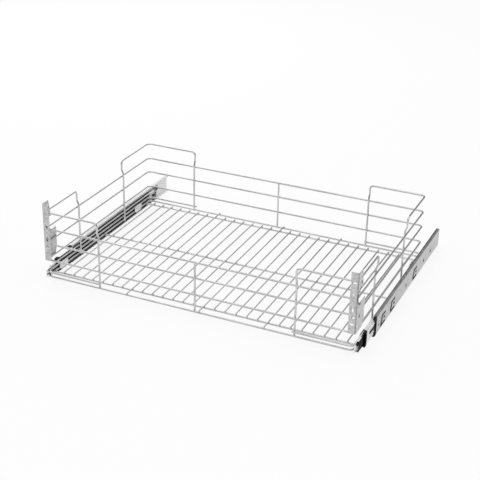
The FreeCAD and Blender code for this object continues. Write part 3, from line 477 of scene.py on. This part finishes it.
wire, strip, zinc = platedWire(), greaseAndShadeStrip(), stampedZinc()
plate, plastic, bearing = brightPlate(), mouldedPlastic(), bearingSteel()
slotFinish = {"chrome_wire": wire, "cage_steel": strip, "bracket_steel": zinc,
              "plate_steel": plate, "fastener_steel": plate, "black_plastic": plastic,
              "ball_steel": bearing, "slide_steel": plate}
nodeSlot = {part["node"]: part["material_slot"] for part in frame["record"]["subparts"]}
nodeFinish = {name: slotFinish[nodeSlot[name]] for name in frame["nodes"]}
face = slideValues["faceDark"], slideValues["faceLight"]
lips = slideValues["lipDark"], slideValues["lipLight"]
middleSteel = rolledSteel("middleSteel", *lips, middleInside, middlePaintedLight)
drawerSteel = rolledSteel("drawerSteel", *lips, drawerInside, drawerPaintedLight)
for word, side in sides:
    lip, paintedLight = slideValues["lips"][word]
    nodeFinish[f"{word}_cabinet_member"] = rolledSteel(
        f"{word}CabinetSteel", *face, lambda *at: cabinetInside(*at, lip),
        lambda *at: cabinetPaintedLight(*at, paintedLight), slideValues["top"][word])
    nodeFinish[f"{word}_middle_member"] = middleSteel
    nodeFinish[f"{word}_drawer_member"] = drawerSteel
for name, thing in frame["nodes"].items():
    thing.data.materials.clear()
    thing.data.materials.append(nodeFinish[name])
print("finishes made")


# Surfaces on grids of points

def unit(vectors):  # each vector over its length
    return vectors / np.linalg.norm(vectors, axis=-1, keepdims=True)


# Each corner c becomes the parabola (1-t)^2 a + 2t(1-t) c + t^2 b, where a and b lie
# a cut before and after it.
def softened(corners, cut, steps=6):
    corners = np.asarray(corners, float)
    cut = np.broadcast_to(np.asarray(cut, float), len(corners))[:, None]
    before = corners + unit(np.roll(corners, 1, 0) - corners) * cut
    after = corners + unit(np.roll(corners, -1, 0) - corners) * cut
    t = np.linspace(0.0, 1.0, steps)[None, :, None]
    curve = ((1 - t) ** 2 * before[:, None] + 2 * t * (1 - t) * corners[:, None]
             + t ** 2 * after[:, None])
    return curve.reshape(-1, 2)


# Two half circles of half the height, their centres half (length - height) from the place.
def stadium(length, height, steps=24, place=(0.0, 0.0)):
    a = np.linspace(-math.pi / 2, math.pi / 2, steps)
    reach = (length - height) / 2
    right = np.stack([reach + np.cos(a) * height / 2, np.sin(a) * height / 2], 1)
    return np.concatenate([right, -right]) + np.array(place)


# The outline carried from low to high. Near both faces it draws in by edge (1 - sin a)
# while it climbs edge (1 - cos a), for a from 0 to a quarter turn.
def slab(outline, low, high, edge, steps=3):
    ahead, behind = np.roll(outline, -1, 0), np.roll(outline, 1, 0)
    turn = np.sign(np.sum(outline[:, 0] * ahead[:, 1] - outline[:, 1] * ahead[:, 0]))
    run = ahead - behind
    outwards = unit(np.stack([run[:, 1], -run[:, 0]], 1)) * turn
    a = np.linspace(0.0, math.pi / 2, steps + 1)
    inset = edge * (1 - np.sin(a))
    lift = edge * (1 - np.cos(a))
    inset = np.concatenate([inset, inset[::-1]])
    height = np.concatenate([low + lift, high - lift[::-1]])
    flat = outline[None] - inset[:, None, None] * outwards[None]
    rise = np.broadcast_to(height[:, None, None], flat.shape[:2] + (1,))
    return np.concatenate([flat, rise], -1)


# A ring of points round each point of a closed path, in the plane of its normal and the
# third axis; flat squeezes it along that axis.
def tube(path, radius, flat, steps=8):
    run = np.roll(path, -1, 0) - np.roll(path, 1, 0)
    across = unit(np.stack([run[:, 1], -run[:, 0]], 1))
    a = np.arange(steps) * 2 * math.pi / steps
    offset = radius * np.cos(a)[None, :, None] * across[:, None]
    rise = np.broadcast_to((radius * flat * np.sin(a))[None, :, None], offset.shape[:2] + (1,))
    return np.concatenate([path[:, None] + offset, rise], -1)


# A slab whose outline is a rectangle with its corners rounded by the same edge. Each pair
# gives where it starts and ends: along, up and outwards.
def block(along, up, out, edge):
    corners = [(along[0], up[0]), (along[1], up[0]), (along[1], up[1]), (along[0], up[1])]
    return slab(softened(corners, edge, 4), *out, edge)


# A surface drawn in millimetres (rearwards from y, up from the axis, outwards from the
# slide's basket side) becomes x = side (slideX + out), y + along, axis + up.
def beside(surface, side, y):
    along, up, out = np.moveaxis(surface * mm, -1, 0)
    return np.stack([side * (slideX + out), y + along, axisZ + up], -1)


def capped(surfaces, side, y):  # the same for closed pieces
    return [(beside(surface, side, y), "cap") for surface in surfaces]


def addObject(name, data):
    thing = bpy.data.objects.new(name, data)
    bpy.context.scene.collection.objects.link(thing)
    return thing


sharpAngle = math.radians(35.0)  # an edge that folds further is shaded as a sharp one


# Joins grids into one mesh: quads between neighbouring rows, rows closed into rings, and
# each grid either capped at both ends or closed end to end.
def makePiece(name, surfaces, finish, body, replaces=()):
    vertices, faces, start = [], [], 0
    for points, ends in surfaces:
        rows, columns = points.shape[:2]
        spans = rows if ends == "ring" else rows - 1
        r, c = np.arange(spans)[:, None], np.arange(columns)[None, :]
        up, on = (r + 1) % rows, (c + 1) % columns
        quads = np.stack([r * columns + c, r * columns + on, up * columns + on,
                          up * columns + c], -1).reshape(-1, 4) + start
        faces += quads.tolist()
        if ends == "cap":
            first = np.arange(columns) + start
            faces += [first[::-1].tolist(), (first + (rows - 1) * columns).tolist()]
        vertices.append(points.reshape(-1, 3))
        start += rows * columns
    mesh = bpy.data.meshes.new(name)
    mesh.from_pydata(np.concatenate(vertices).tolist(), [], faces)
    shape = bmesh.new()
    shape.from_mesh(mesh)
    bmesh.ops.recalc_face_normals(shape, faces=shape.faces)
    shape.to_mesh(mesh)
    shape.free()
    mesh.polygons.foreach_set("use_smooth", np.ones(len(mesh.polygons), bool))
    mesh.set_sharp_from_angle(angle=sharpAngle)
    mesh.materials.append(finish)
    piece = addObject(name, mesh)
    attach(piece, body)
    if replaces:
        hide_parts(*replaces)


# Spot welds: a flattened bead of squeezed metal wherever two wires cross. "poles" is how
# near the bead's rows come to its poles, as a share of half a turn.

weldValues = {"radius": 2.7, "height": 1.25, "rows": 7, "columns": 12, "corners": 0.16,
              "spread": 0.12, "poles": 0.47, "fullness": 0.8, "match": 1.5}


# Radius R (1 - k cos 4a) times a power of cos b, over height h sin b: wider towards the
# corners between the crossing wires, one bead for each place.
def beads(places, along, across):
    v = weldValues
    b = np.linspace(-v["poles"], v["poles"], v["rows"]) * math.pi
    a = np.arange(v["columns"]) * 2 * math.pi / v["columns"]
    radius = v["radius"] * mm * (1 - v["corners"] * np.cos(4 * a))
    flat = np.cos(b)[:, None] ** v["fullness"] * radius[None]
    shape = np.stack([flat * np.cos(a), flat * np.sin(a),
                      np.repeat(np.sin(b)[:, None], len(a), 1) * v["height"] * mm], -1)
    places = np.asarray(places, float)
    scale = 1 + v["spread"] * (rng.random(len(places)) * 2 - 1)
    along, across = np.array(along, float), np.array(across, float)
    turn = np.stack([along, across, np.cross(along, across)])
    grown = shape[None] * scale[:, None, None, None]
    return [(points, "cap") for points in places[:, None, None] + grown @ turn]


def pointsX(name):  # X of a node's points
    vertices = frame["nodes"][name].data.vertices
    points = np.empty(3 * len(vertices), np.float32)
    vertices.foreach_get("co", points)
    return points[::3].astype(float)


def crossings(xs, ys, z):  # every x with every y, at one height
    x, y = np.meshgrid(xs, ys)
    return np.stack([x.ravel(), y.ravel(), np.full(x.size, z)], 1)


# Floor wires lie on the cross wires, and the long ones on the ring too. Each one's x is the
# mean of its points, told apart by gaps wider than the wire is thick.
def floorCrossings(crossY, top):
    x = np.unique(np.round(np.concatenate([pointsX("floor_wires"),
                                           pointsX("long_floor_wires")]), 6))
    thick = edges("floor_wires")[1][2] - edges("floor_wires")[0][2]
    group = np.cumsum(np.concatenate([[True], np.diff(x) > thick]))
    floorX = np.array([x[group == number].mean() for number in range(1, group[-1] + 1)])
    apart = np.abs(floorX[:, None] - np.round(pointsX("long_floor_wires"), 3)).min(1)
    longX = floorX[apart < weldValues["match"] * mm]
    return np.concatenate([crossings(floorX, crossY, top),
                           crossings(longX, [frontY, rearY], top)])


# Uprights meet the ring and the rails at the walls, the loops' legs meet them and the side
# wires at the sides, and the cross wires end on the ring.
def makeWelds():
    crossY = [edges(f"{word}_cross_wire")[0][1] + wireRadius
              for word in ("front", "middle", "rear")]
    heights = [ringZ] + railZ
    wallSpots = []
    for word, y in (("front", frontY + wireRadius), ("rear", rearY - wireRadius)):
        uprights = (edges(f"{word}_left_loop")[1][0] - wireRadius,
                    edges(f"{word}_centre_post")[1][0] - wireRadius,
                    edges(f"{word}_right_loop")[0][0] + wireRadius)
        wallSpots += [(x, y, z) for x in uprights for z in heights]
    legs = (edges("front_right_loop")[1][1] - wireRadius,
            edges("rear_right_loop")[0][1] + wireRadius)
    sideZ = edges("left_side_wire")[0][2] + wireRadius
    sideX = halfWidth - wireRadius
    sideSpots = [(x, y, z) for x in (-sideX, sideX) for y in legs for z in heights + [sideZ]]
    endX = halfWidth - 2 * wireRadius
    ends = [(x, y, ringZ) for x in (-endX, endX) for y in crossY]
    surfaces = beads(floorCrossings(crossY, ringZ + wireRadius), (1, 0, 0), (0, 1, 0))
    surfaces += beads(wallSpots, (1, 0, 0), (0, 0, 1))
    surfaces += beads(sideSpots, (0, 1, 0), (0, 0, 1))
    surfaces += beads(ends, (0, 1, 0), (0, 0, 1))
    makePiece("spot_welds", surfaces, wire, "drawer")
    return len(surfaces)


print("spot welds made:", makeWelds())


# Plastic stops. Outlines are drawn rearwards from a member's end and up from the axis, and
# "rounding" is how far each corner is cut; "In" and "Out" count from the basket side.

# What both stops share: a bar drawn from the side as an outline, and two caps and a tongue
# that reach in behind it, each a rounded block.
def stopBar(v):
    inner, edge, half = v["barIn"], v["edge"], v["tongueHalf"]
    bar = slab(softened(v["outline"], v["rounding"]), inner, v["barOut"], edge)
    caps = [block(v["capSpan"], np.sort(sign * np.array(v["caps"])),
                  (v["capIn"], inner + v["capSunk"]), edge) for sign in (-1, 1)]
    tongue = block(v["tongueSpan"], (-half, half), (inner, v["tongueOut"]), v["tongueEdge"])
    return [bar, *caps, tongue]


frontStopValues = {
    "outline": ((-13.6, 25.3), (-1.0, 25.3), (0.0, 17.9), (-0.2, -20.9), (0.0, -25.3),
                (-10.0, -25.3), (-8.4, -21.9), (-4.6, -16.9), (-4.8, 12.9), (-13.6, 19.9)),
    "rounding": (1.4, 0.6, 0.8, 0.8, 0.8, 1.4, 1.2, 2.0, 3.0, 1.4),
    "edge": 0.5, "barIn": 10.9, "barOut": 12.6,
    "caps": (20.9, 25.3), "capIn": 6.6, "capSpan": (-12.5, -1.5), "capSunk": 0.6,
    "padShare": 0.62, "padSpan": (-9.5, -3.5), "padProud": 0.25, "padSunk": 0.5,
    "tongueSpan": (-3.0, 9.0), "tongueHalf": 7.8, "tongueOut": 11.45, "tongueEdge": 0.25,
}


# A bar with a leaning hook on top and a foot below, and two pads inwards of the caps.
def makeFrontStop(word, side):
    v = frontStopValues
    out = v["barIn"] - v["padProud"], v["barIn"] + v["padSunk"]
    pads = [block(v["padSpan"], np.sort(sign * np.array(v["caps"])) * v["padShare"], out,
                  v["edge"]) for sign in (-1, 1)]
    surfaces = stopBar(v) + pads
    makePiece(f"{word}_front_bumper", capped(surfaces, side, cabinetLow[1]), plastic,
              "cabinet_side", [f"{word}_front_stop"])


middleStopValues = {
    "outline": ((-12.5, 19.9), (-0.6, 19.9), (-0.2, 0.0), (-0.6, -19.9), (-13.5, -19.9),
                (-11.0, -15.5), (-7.6, -10.5), (-7.6, 11.5), (-10.5, 16.5)),
    "rounding": (1.4, 0.8, 0.8, 0.8, 1.4, 1.0, 2.0, 2.0, 1.0),
    "edge": 0.5, "barIn": 7.3, "barOut": 10.5,
    "caps": (16.5, 19.9), "capIn": 3.1, "capSpan": (-11.5, -1.0), "capSunk": 0.8,
    "ribs": (-9.0, 0.0, 9.0), "ribSpan": (-9.4, -0.8), "ribHalf": 1.1, "ribProud": 0.5,
    "ribShort": 0.3, "ribEdge": 0.4,
    "tongueSpan": (-2.0, 9.0), "tongueHalf": 7.8, "tongueOut": 8.45, "tongueEdge": 0.25,
}


# A smaller bar, with three ribs across it.
def makeMiddleStop(word, side):
    v = middleStopValues
    half, out = v["ribHalf"], (v["barIn"] - v["ribProud"], v["barOut"] - v["ribShort"])
    ribs = [block(v["ribSpan"], (height - half, height + half), out, v["ribEdge"])
            for height in v["ribs"]]
    surfaces = stopBar(v) + ribs
    makePiece(f"{word}_middle_bumper", capped(surfaces, side, middleLow[1]), plastic,
              f"{word}_middle", [f"{word}_middle_stop"])


# Each bead is given as length, height, steps and place.
catchValues = {
    "outline": ((20.0, -1.4), (25.0, -2.0), (50.0, -3.4), (60.0, -6.8), (68.0, -6.8),
                (68.0, 6.8), (60.0, 6.8), (50.0, 5.4), (27.0, 6.4), (20.0, 7.0)),
    "rounding": (1.2, 2.0, 6.0, 3.0, 1.4, 1.4, 3.0, 6.0, 2.0, 1.2), "edge": 0.15,
    "inner": 9.72, "outer": 10.55, "proud": 0.25, "deep": 0.4, "beadEdge": 0.2,
    "beads": ((30.0, 2.0, 10, (40.0, 1.6)), (9.0, 9.0, 12, (61.5, 0.0))),
}


# A tapering arm with a nose at its free end and a wide root, and two raised beads on it.
def makeCatch(word, side):
    v = catchValues
    outer = v["outer"]
    arm = softened(v["outline"], v["rounding"])
    surfaces = [slab(arm, v["inner"], outer - v["proud"], v["edge"], 2)]
    surfaces += [slab(stadium(*bead), outer - v["deep"], outer, v["beadEdge"], 2)
                 for bead in v["beads"]]
    makePiece(f"{word}_catch_arm", capped(surfaces, side, middleLow[1]), plastic,
              f"{word}_middle", [f"{word}_catch"])


# "upper" and "lower" are the lobes' lengths, and "web" is where the member's web lies.
rearValues = {
    "lobe": 18.0, "apart": 0.6, "upper": 18.0, "sunk": 6.0, "lower": 26.0, "behind": 0.2,
    "clear": 0.25, "inner": 7.25, "outer": 9.65, "web": 8.45, "lowerEdge": 0.4, "edge": 0.3,
    "neck": ((0.2, -17.6), (6.5, -17.6), (8.6, 0.0), (8.6, 4.0), (0.2, 4.0)),
    "neckRounding": (0.4, 2.0, 2.0, 1.0, 0.4), "neckBack": 0.2,
    "rim": 0.95, "rimFlat": 0.8, "rimProud": 0.35, "rimShrink": 0.98, "rimShift": (-0.2, -0.1),
}


# Two lobes, each a stadium with half-round ends: the lower one lies on the middle member's
# web, and the upper one stands behind the member's end, cut off flat there. A rim of round
# section runs along the edge of each.
def makeRearStop(word, side):
    v = rearValues
    lobe, high = v["lobe"], v["lobe"] - v["apart"]
    upper = stadium(v["upper"] + v["sunk"], high,
                    place=((v["upper"] - v["sunk"]) / 2, lobe / 2))
    upper[:, 0] = np.maximum(upper[:, 0], v["clear"])
    lower = stadium(v["lower"], high, place=(v["behind"] - v["lower"] / 2, -lobe / 2))
    neck = softened(v["neck"], v["neckRounding"])
    surfaces = [slab(lower, v["inner"], v["web"], v["lowerEdge"]),
                slab(upper, v["inner"], v["outer"], v["edge"]),
                slab(neck, v["inner"] + v["neckBack"], v["outer"], v["edge"])]
    makePiece(f"{word}_rear_lobes", capped(surfaces, side, middleHigh[1]), plastic,
              f"{word}_middle", [f"{word}_rear_stop"])
    rims = []
    for outline in (lower * v["rimShrink"] + np.array(v["rimShift"]), upper):
        ring = tube(outline, v["rim"], v["rimFlat"])
        ring[..., 2] += v["inner"] - v["rimProud"]
        rims.append((beside(ring, side, middleHigh[1]), "ring"))
    makePiece(f"{word}_rear_rims", rims, plate, f"{word}_middle")


# The blade is drawn from its pivot, which lies "pivot" behind the drawer member's end.
leverValues = {
    "pivot": 97.0, "inner": 3.05, "outer": 6.15, "edge": 0.5, "hub": 12.0,
    "outline": ((-4.0, 4.2), (-36.0, 3.6), (-46.0, 6.6), (-70.0, 8.6), (-77.0, 7.4),
                (-77.0, 0.0), (-70.0, -3.6), (-63.0, -9.4), (-53.0, -9.8), (-44.0, -8.6),
                (-36.0, -3.6), (-4.0, -4.2), (5.4, -3.0), (5.4, 3.0)),
    "rounding": (2.0, 5.0, 5.0, 3.0, 2.0, 1.6, 3.0, 3.0, 4.0, 4.0, 4.0, 2.0, 2.4, 2.4),
    "grips": 5, "gripLength": 8.6, "gripWidth": 1.7, "gripShrink": 0.4,
    "gripPlace": (-73.0, 3.2), "gripStep": (4.0, -0.5), "gripEdge": 0.45,
    "spine": (44.0, 2.4), "spinePlace": (-25.0, 0.0), "spineFall": 0.05, "spineEdge": 0.4,
    "proud": 0.5, "deep": 0.9,
}
rivetValues = {"shank": 4.0, "shankOut": (1.2, 6.4), "shankEdge": 0.1,
               "head": 7.0, "headOut": (6.32, 6.76), "headEdge": 0.2}


# A trigger-shaped blade: a thin arm from the pivot, a deep belly, and a blunt nose with
# raised grip beads, with a boss round the rivet and a spine along the arm.
def makeLever(word, side):
    v, w = leverValues, rivetValues
    y = drawerLow[1] + v["pivot"] * mm
    outer, deep = v["outer"], v["outer"] - v["deep"]
    blade = softened(v["outline"], v["rounding"])
    surfaces = [slab(blade, v["inner"], outer - v["proud"], v["edge"]),
                slab(stadium(v["hub"], v["hub"], 20), v["inner"], outer, v["edge"])]
    for step in range(v["grips"]):
        grip = stadium(v["gripLength"] - step * v["gripShrink"], v["gripWidth"], 8)[:, ::-1]
        grip = grip + (np.array(v["gripPlace"]) + step * np.array(v["gripStep"]))
        surfaces.append(slab(grip, deep, outer, v["gripEdge"], 2))
    spine = stadium(*v["spine"], 10, v["spinePlace"])
    surfaces.append(slab(spine, deep, outer - v["spineFall"], v["spineEdge"], 2))
    makePiece(f"{word}_lever_blade", capped(surfaces, side, y), plastic,
              f"{word}_lever", [f"{word}_release_lever"])
    rivet = [slab(stadium(w["shank"], w["shank"], 14), *w["shankOut"], w["shankEdge"], 2),
             slab(stadium(w["head"], w["head"], 18), *w["headOut"], w["headEdge"])]
    makePiece(f"{word}_pivot_rivet", capped(rivet, side, y), plate, "drawer",
              [f"{word}_lever_rivet"])


for word, side in sides:
    makeFrontStop(word, side)
    makeMiddleStop(word, side)
    makeCatch(word, side)
    makeRearStop(word, side)
    makeLever(word, side)
print("stops, catches and levers made")


# Mounting plates and their screws, drawn inwards from the slide. Places on a plate are
# shares s of its outline.

plateValues = {
    "length": 40.0, "height": 20.6, "face": 6.45, "back": 5.05, "edge": 0.5,
    "rings": (0.93, 0.86, 0.80, 0.77, 0.74, 0.71, 0.68, 0.6, 0.5, 0.42, 0.36, 0.3, 0.2),
    "groove": 0.3, "groovePlace": 0.74, "grooveWidth": 0.05,
    "dish": 0.25, "dishFrom": 0.25, "dishTo": 0.5,
}
screwValues = {
    "radius": 4.0, "head": 2.3, "fullness": 0.7, "rimRadius": 4.08, "headShare": 0.98,
    "recess": 1.1, "arm": 0.55, "armSoft": 0.2, "reach": 2.3, "reachSoft": 0.4, "sunk": 0.2,
    "rings": 15, "centre": 0.04, "firstRing": 0.25, "around": 48,
    "shank": 1.75, "thread": 0.22, "turns": 9, "shankRings": 40, "shankStep": 3, "tip": 2.3,
}


# The outline shrinks towards its middle by a share s, while its face falls by a groove
# g exp(-((s - p) / w)^2) and by a shallow dish round the screw.
def ovalPlate():
    v = plateValues
    outline = stadium(v["length"], v["height"])
    rim = slab(outline, v["back"], v["face"], v["edge"])
    s = np.array(v["rings"])
    fall = v["groove"] * np.exp(-((s - v["groovePlace"]) / v["grooveWidth"]) ** 2)
    fall = fall + v["dish"] * (s < v["dishTo"]) * (s > v["dishFrom"])
    face = np.broadcast_to((v["face"] - fall)[:, None, None], (len(s), len(outline), 1))
    inner = np.concatenate([s[:, None, None] * outline[None], face], -1)
    return np.concatenate([rim, inner]) * (1, 1, -1)


# The dome is h (1 - (r/R)^2)^(1/2) to a power, less a recess where the smaller of |x| and
# |z| is within an arm's half width and the larger within its reach.
def screwHead():
    v, face = screwValues, plateValues["face"]
    r = np.concatenate([[v["centre"]], np.linspace(v["firstRing"], v["radius"], v["rings"])])
    r = r[:, None]
    a = np.arange(v["around"]) * 2 * math.pi / v["around"]
    x, z = r * np.cos(a), r * np.sin(a)
    near, far = np.minimum(np.abs(x), np.abs(z)), np.maximum(np.abs(x), np.abs(z))
    cross = (np.clip((v["arm"] - near) / v["armSoft"] + 0.5, 0, 1)
             * np.clip((v["reach"] - far) / v["reachSoft"], 0, 1))
    dome = v["head"] * np.sqrt(np.clip(1 - (r / v["rimRadius"]) ** 2, 0, 1)) ** v["fullness"]
    out = face + dome * v["headShare"] - v["recess"] * cross
    skirt = np.stack([x[-1], z[-1], np.full(len(a), v["sunk"] - face)], -1)[None]
    return np.concatenate([np.stack([x, z, -out], -1), skirt])


# Radius q + t sin of some turns along the way, from the plate's face to inside the slide.
def screwShank():
    v, face = screwValues, plateValues["face"]
    a = np.arange(0, v["around"], v["shankStep"]) * 2 * math.pi / v["around"]
    along = np.linspace(0, 1, v["shankRings"])
    radius = v["shank"] + v["thread"] * np.sin(along * 2 * math.pi * v["turns"])
    out = np.repeat((-face + along * (face + v["tip"]))[:, None], len(a), 1)
    return np.stack([radius[:, None] * np.cos(a), radius[:, None] * np.sin(a), out], -1)


def makePlates(word, side):  # one plate and its screw at each end of the node they replace
    low, high = edges(f"{word}_mounting_plates")
    half = plateValues["length"] / 2 * mm
    plates, screws = [], []
    for y in (low[1] + half, high[1] - half):
        plates += capped([ovalPlate()], side, y)
        screws += capped([screwHead(), screwShank()], side, y)
    makePiece(f"{word}_oval_plates", plates, plate, "drawer",
              [f"{word}_mounting_plates"])
    makePiece(f"{word}_cross_screws", screws, plate, "drawer",
              [f"{word}_slide_screws"])


for word, side in sides:
    makePlates(word, side)
print("mounting plates and screws made")


# Pressed details of the steel: beads along the middle member, rims round the bracket's slots

beadValues = {"height": 0.42, "width": 2.6, "places": (-10.5, 10.5), "start": 10.0,
              "end": 24.0, "web": 9.7, "rings": 33, "around": 12, "thinnest": 0.02}


# An ellipse across, half of it sunk in the web, carried along the member. Its end rings are
# drawn in to the square root of the thinnest share.
def makeBeads(word, side):
    v = beadValues
    length = (middleHigh[1] - middleLow[1]) / mm - v["start"] - v["end"]
    t = np.linspace(0.0, 1.0, v["rings"])
    fade = np.clip(np.minimum(t, 1 - t) * v["rings"], v["thinnest"], 1)[:, None] ** 0.5
    a = np.arange(v["around"]) * 2 * math.pi / v["around"]
    along = np.repeat((v["start"] + t * length)[:, None], v["around"], 1)
    out = v["web"] + fade * np.sin(a) * v["height"]
    surfaces = [np.stack([along, fade * np.cos(a) * v["width"] / 2 + place, out], -1)
                for place in v["places"]]
    makePiece(f"{word}_middle_beads", capped(surfaces, side, middleLow[1]), middleSteel,
              f"{word}_middle")


# Each opening is given as length, height and place above the ring.
rimValues = {
    "radius": 0.42, "flat": 0.7, "grow": 1.12, "inset": 10.5, "steel": 1.5,
    "slots": ((11.0, 5.0, 177.0), (11.0, 5.0, 88.0), (11.0, 5.0, 70.0)),
    "upright": (4.0, 11.0, 107.0), "pair": ((4.0, 4.0, 146.0), (7.7, 2.5, 138.5)),
    "hole": 5.0, "holePlace": (18.0, 84.0),
}


# A thin round tube laid along the edge of each opening, half sunk in the bracket's face:
# the slots in its front sheet, and the round hole in its flange.
def makeRims(word, side):
    v = rimValues
    x = side * (slideX + (v["steel"] - v["inset"]) * mm)
    front = edges(f"{word}_front_bracket")[0][1] + v["radius"] * mm
    width, height, place = v["upright"]
    outlines = [(stadium(length, high), up) for length, high, up in v["slots"]]
    outlines.append((stadium(height, width)[:, ::-1], place))
    outlines += [(stadium(length, high), up) for length, high, up in v["pair"]]
    surfaces = []
    for outline, up in outlines:
        ring = tube(outline * v["grow"], v["radius"], v["flat"]) * mm
        surfaces.append((np.stack([x + ring[..., 0], front + ring[..., 2],
                                   ringZ + up * mm + ring[..., 1]], -1), "ring"))
    flangeX = slideX + (v["steel"] - v["radius"]) * mm
    ring = tube(stadium(v["hole"], v["hole"], place=v["holePlace"]), v["radius"], v["flat"]) * mm
    surfaces.append((np.stack([side * (flangeX + ring[..., 2]), frontY + ring[..., 0],
                               ringZ + ring[..., 1]], -1), "ring"))
    makePiece(f"{word}_bracket_rims", surfaces, zinc, "drawer")


for word, side in sides:
    makeBeads(word, side)
    makeRims(word, side)
print("pressed details made")


# Floor, room, lamps and camera. These values are in metres and radians.

floorValues = {
    "half": 80.0, "lines": 9, "fall": 0.0005, "colour": (0.93, 0.93, 0.93),
    "grainColour": (0.9, 0.9, 0.9), "grain": (40.0, 3.0), "grainShare": 0.3,
    "roughness": 0.8, "glow": 0.85,
}


# Matt white, with its own light for the rays of the camera and of reflections, so that it
# reads as a white sweep and keeps a faint shadow.
def paleFloor():
    f, v = Finish("paleFloor"), floorValues
    grain = f.noise(*v["grain"])
    f.set(Base_Color=f.blend(grain * v["grainShare"], v["colour"], v["grainColour"]),
          Roughness=v["roughness"])
    camera, glossy, through = (f.node("ShaderNodeLightPath", output=f"Is {kind} Ray")
                               for kind in ("Camera", "Glossy", "Transmission"))
    f.cover((camera + glossy + through).clamped() * v["glow"],
            f.node("ShaderNodeEmission", sockets={"Strength": 1.0}))
    return f.material


def makeFloor():  # a flat square grid just below the drawer
    v = floorValues
    steps = np.linspace(-v["half"], v["half"], v["lines"])
    points = crossings(steps, steps, -v["fall"])
    n = len(steps)
    corner = (np.arange(n - 1)[:, None] * n + np.arange(n - 1)[None, :]).ravel()
    faces = np.stack([corner, corner + 1, corner + 1 + n, corner + n], 1)
    mesh = bpy.data.meshes.new("floor")
    mesh.from_pydata(points.tolist(), [], faces.tolist())
    mesh.materials.append(paleFloor())
    floor = addObject("floor", mesh)


# "low" and "high" are the sines of the heights between which the room turns bright.
roomValues = {
    "strength": 1.0, "low": 0.38, "high": 0.72, "horizon": (0.24, 0.24, 0.245),
    "overhead": (1.15, 1.15, 1.15), "beyond": (0.985, 0.985, 0.985),
}


def makeRoom():  # dark walls under a bright ceiling, and the floor's white for the camera
    v = roomValues
    world = bpy.data.worlds.new("paleRoom")
    bpy.context.scene.world = world
    world.use_nodes = True
    room = Nodes(world.node_tree)
    up = room.split(room.node("ShaderNodeTexCoord", output="Generated"))[2]
    light = room.blend(up.rise(v["low"], v["high"]), v["horizon"], v["overhead"])
    seen = room.node("ShaderNodeLightPath", output="Is Camera Ray")
    background = world.node_tree.nodes["Background"]
    room.feed(background.inputs["Strength"], v["strength"])
    room.feed(background.inputs["Color"], room.blend(seen, light, v["beyond"]))


lampValues = {  # place, aim, size and power
    "leftLamp": ((-1.75, 1.9, 1.15), (-0.2, 0, 0.1), 1.7, 10.0),
    "frontLamp": ((0.2, -2.4, 2.6), (0, 0, 0.1), 1.6, 9.0),
}


def makeLamps():
    for name, (place, aim, size, power) in lampValues.items():
        lamp = bpy.data.lights.new(name, "AREA")
        lamp.shape, lamp.size, lamp.energy = "DISK", size, power
        thing = addObject(name, lamp)
        thing.location = place
        thing.rotation_mode = "QUATERNION"
        thing.rotation_quaternion = (Vector(aim) - Vector(place)).to_track_quat("-Z", "Y")


cameraValues = {
    "place": (1.0824, -2.48145, 1.3826), "turn": -0.4201, "tilt": 0.4520, "roll": 0.0214,
    "focalPixels": 1124.5, "imagePixels": 480.0, "sensor": 36.0, "clip": (0.05, 200.0),
}


# Turned from +Y about Z, tilted down, and rolled about the way it looks.
def makeCamera():
    v = cameraValues
    turn, tilt, roll = v["turn"], v["tilt"], v["roll"]
    forward = Vector((math.sin(turn) * math.cos(tilt), math.cos(turn) * math.cos(tilt),
                      -math.sin(tilt)))
    level = Vector((math.cos(turn), -math.sin(turn), 0.0))
    above = level.cross(forward)
    right = level * math.cos(roll) + above * math.sin(roll)
    up = above * math.cos(roll) - level * math.sin(roll)
    view = bpy.data.cameras.new("photoCamera")
    view.sensor_width = v["sensor"]
    view.lens = v["focalPixels"] / v["imagePixels"] * v["sensor"]
    view.clip_start, view.clip_end = v["clip"]
    camera = addObject("photoCamera", view)
    camera.matrix_world = Matrix((
        (right.x, up.x, -forward.x, v["place"][0]),
        (right.y, up.y, -forward.y, v["place"][1]),
        (right.z, up.z, -forward.z, v["place"][2]),
        (0.0, 0.0, 0.0, 1.0)))
    bpy.context.scene.camera = camera


makeFloor()
makeRoom()
makeLamps()
makeCamera()
bpy.context.scene.view_settings.view_transform = "Standard"
print("floor, lamps and camera made")
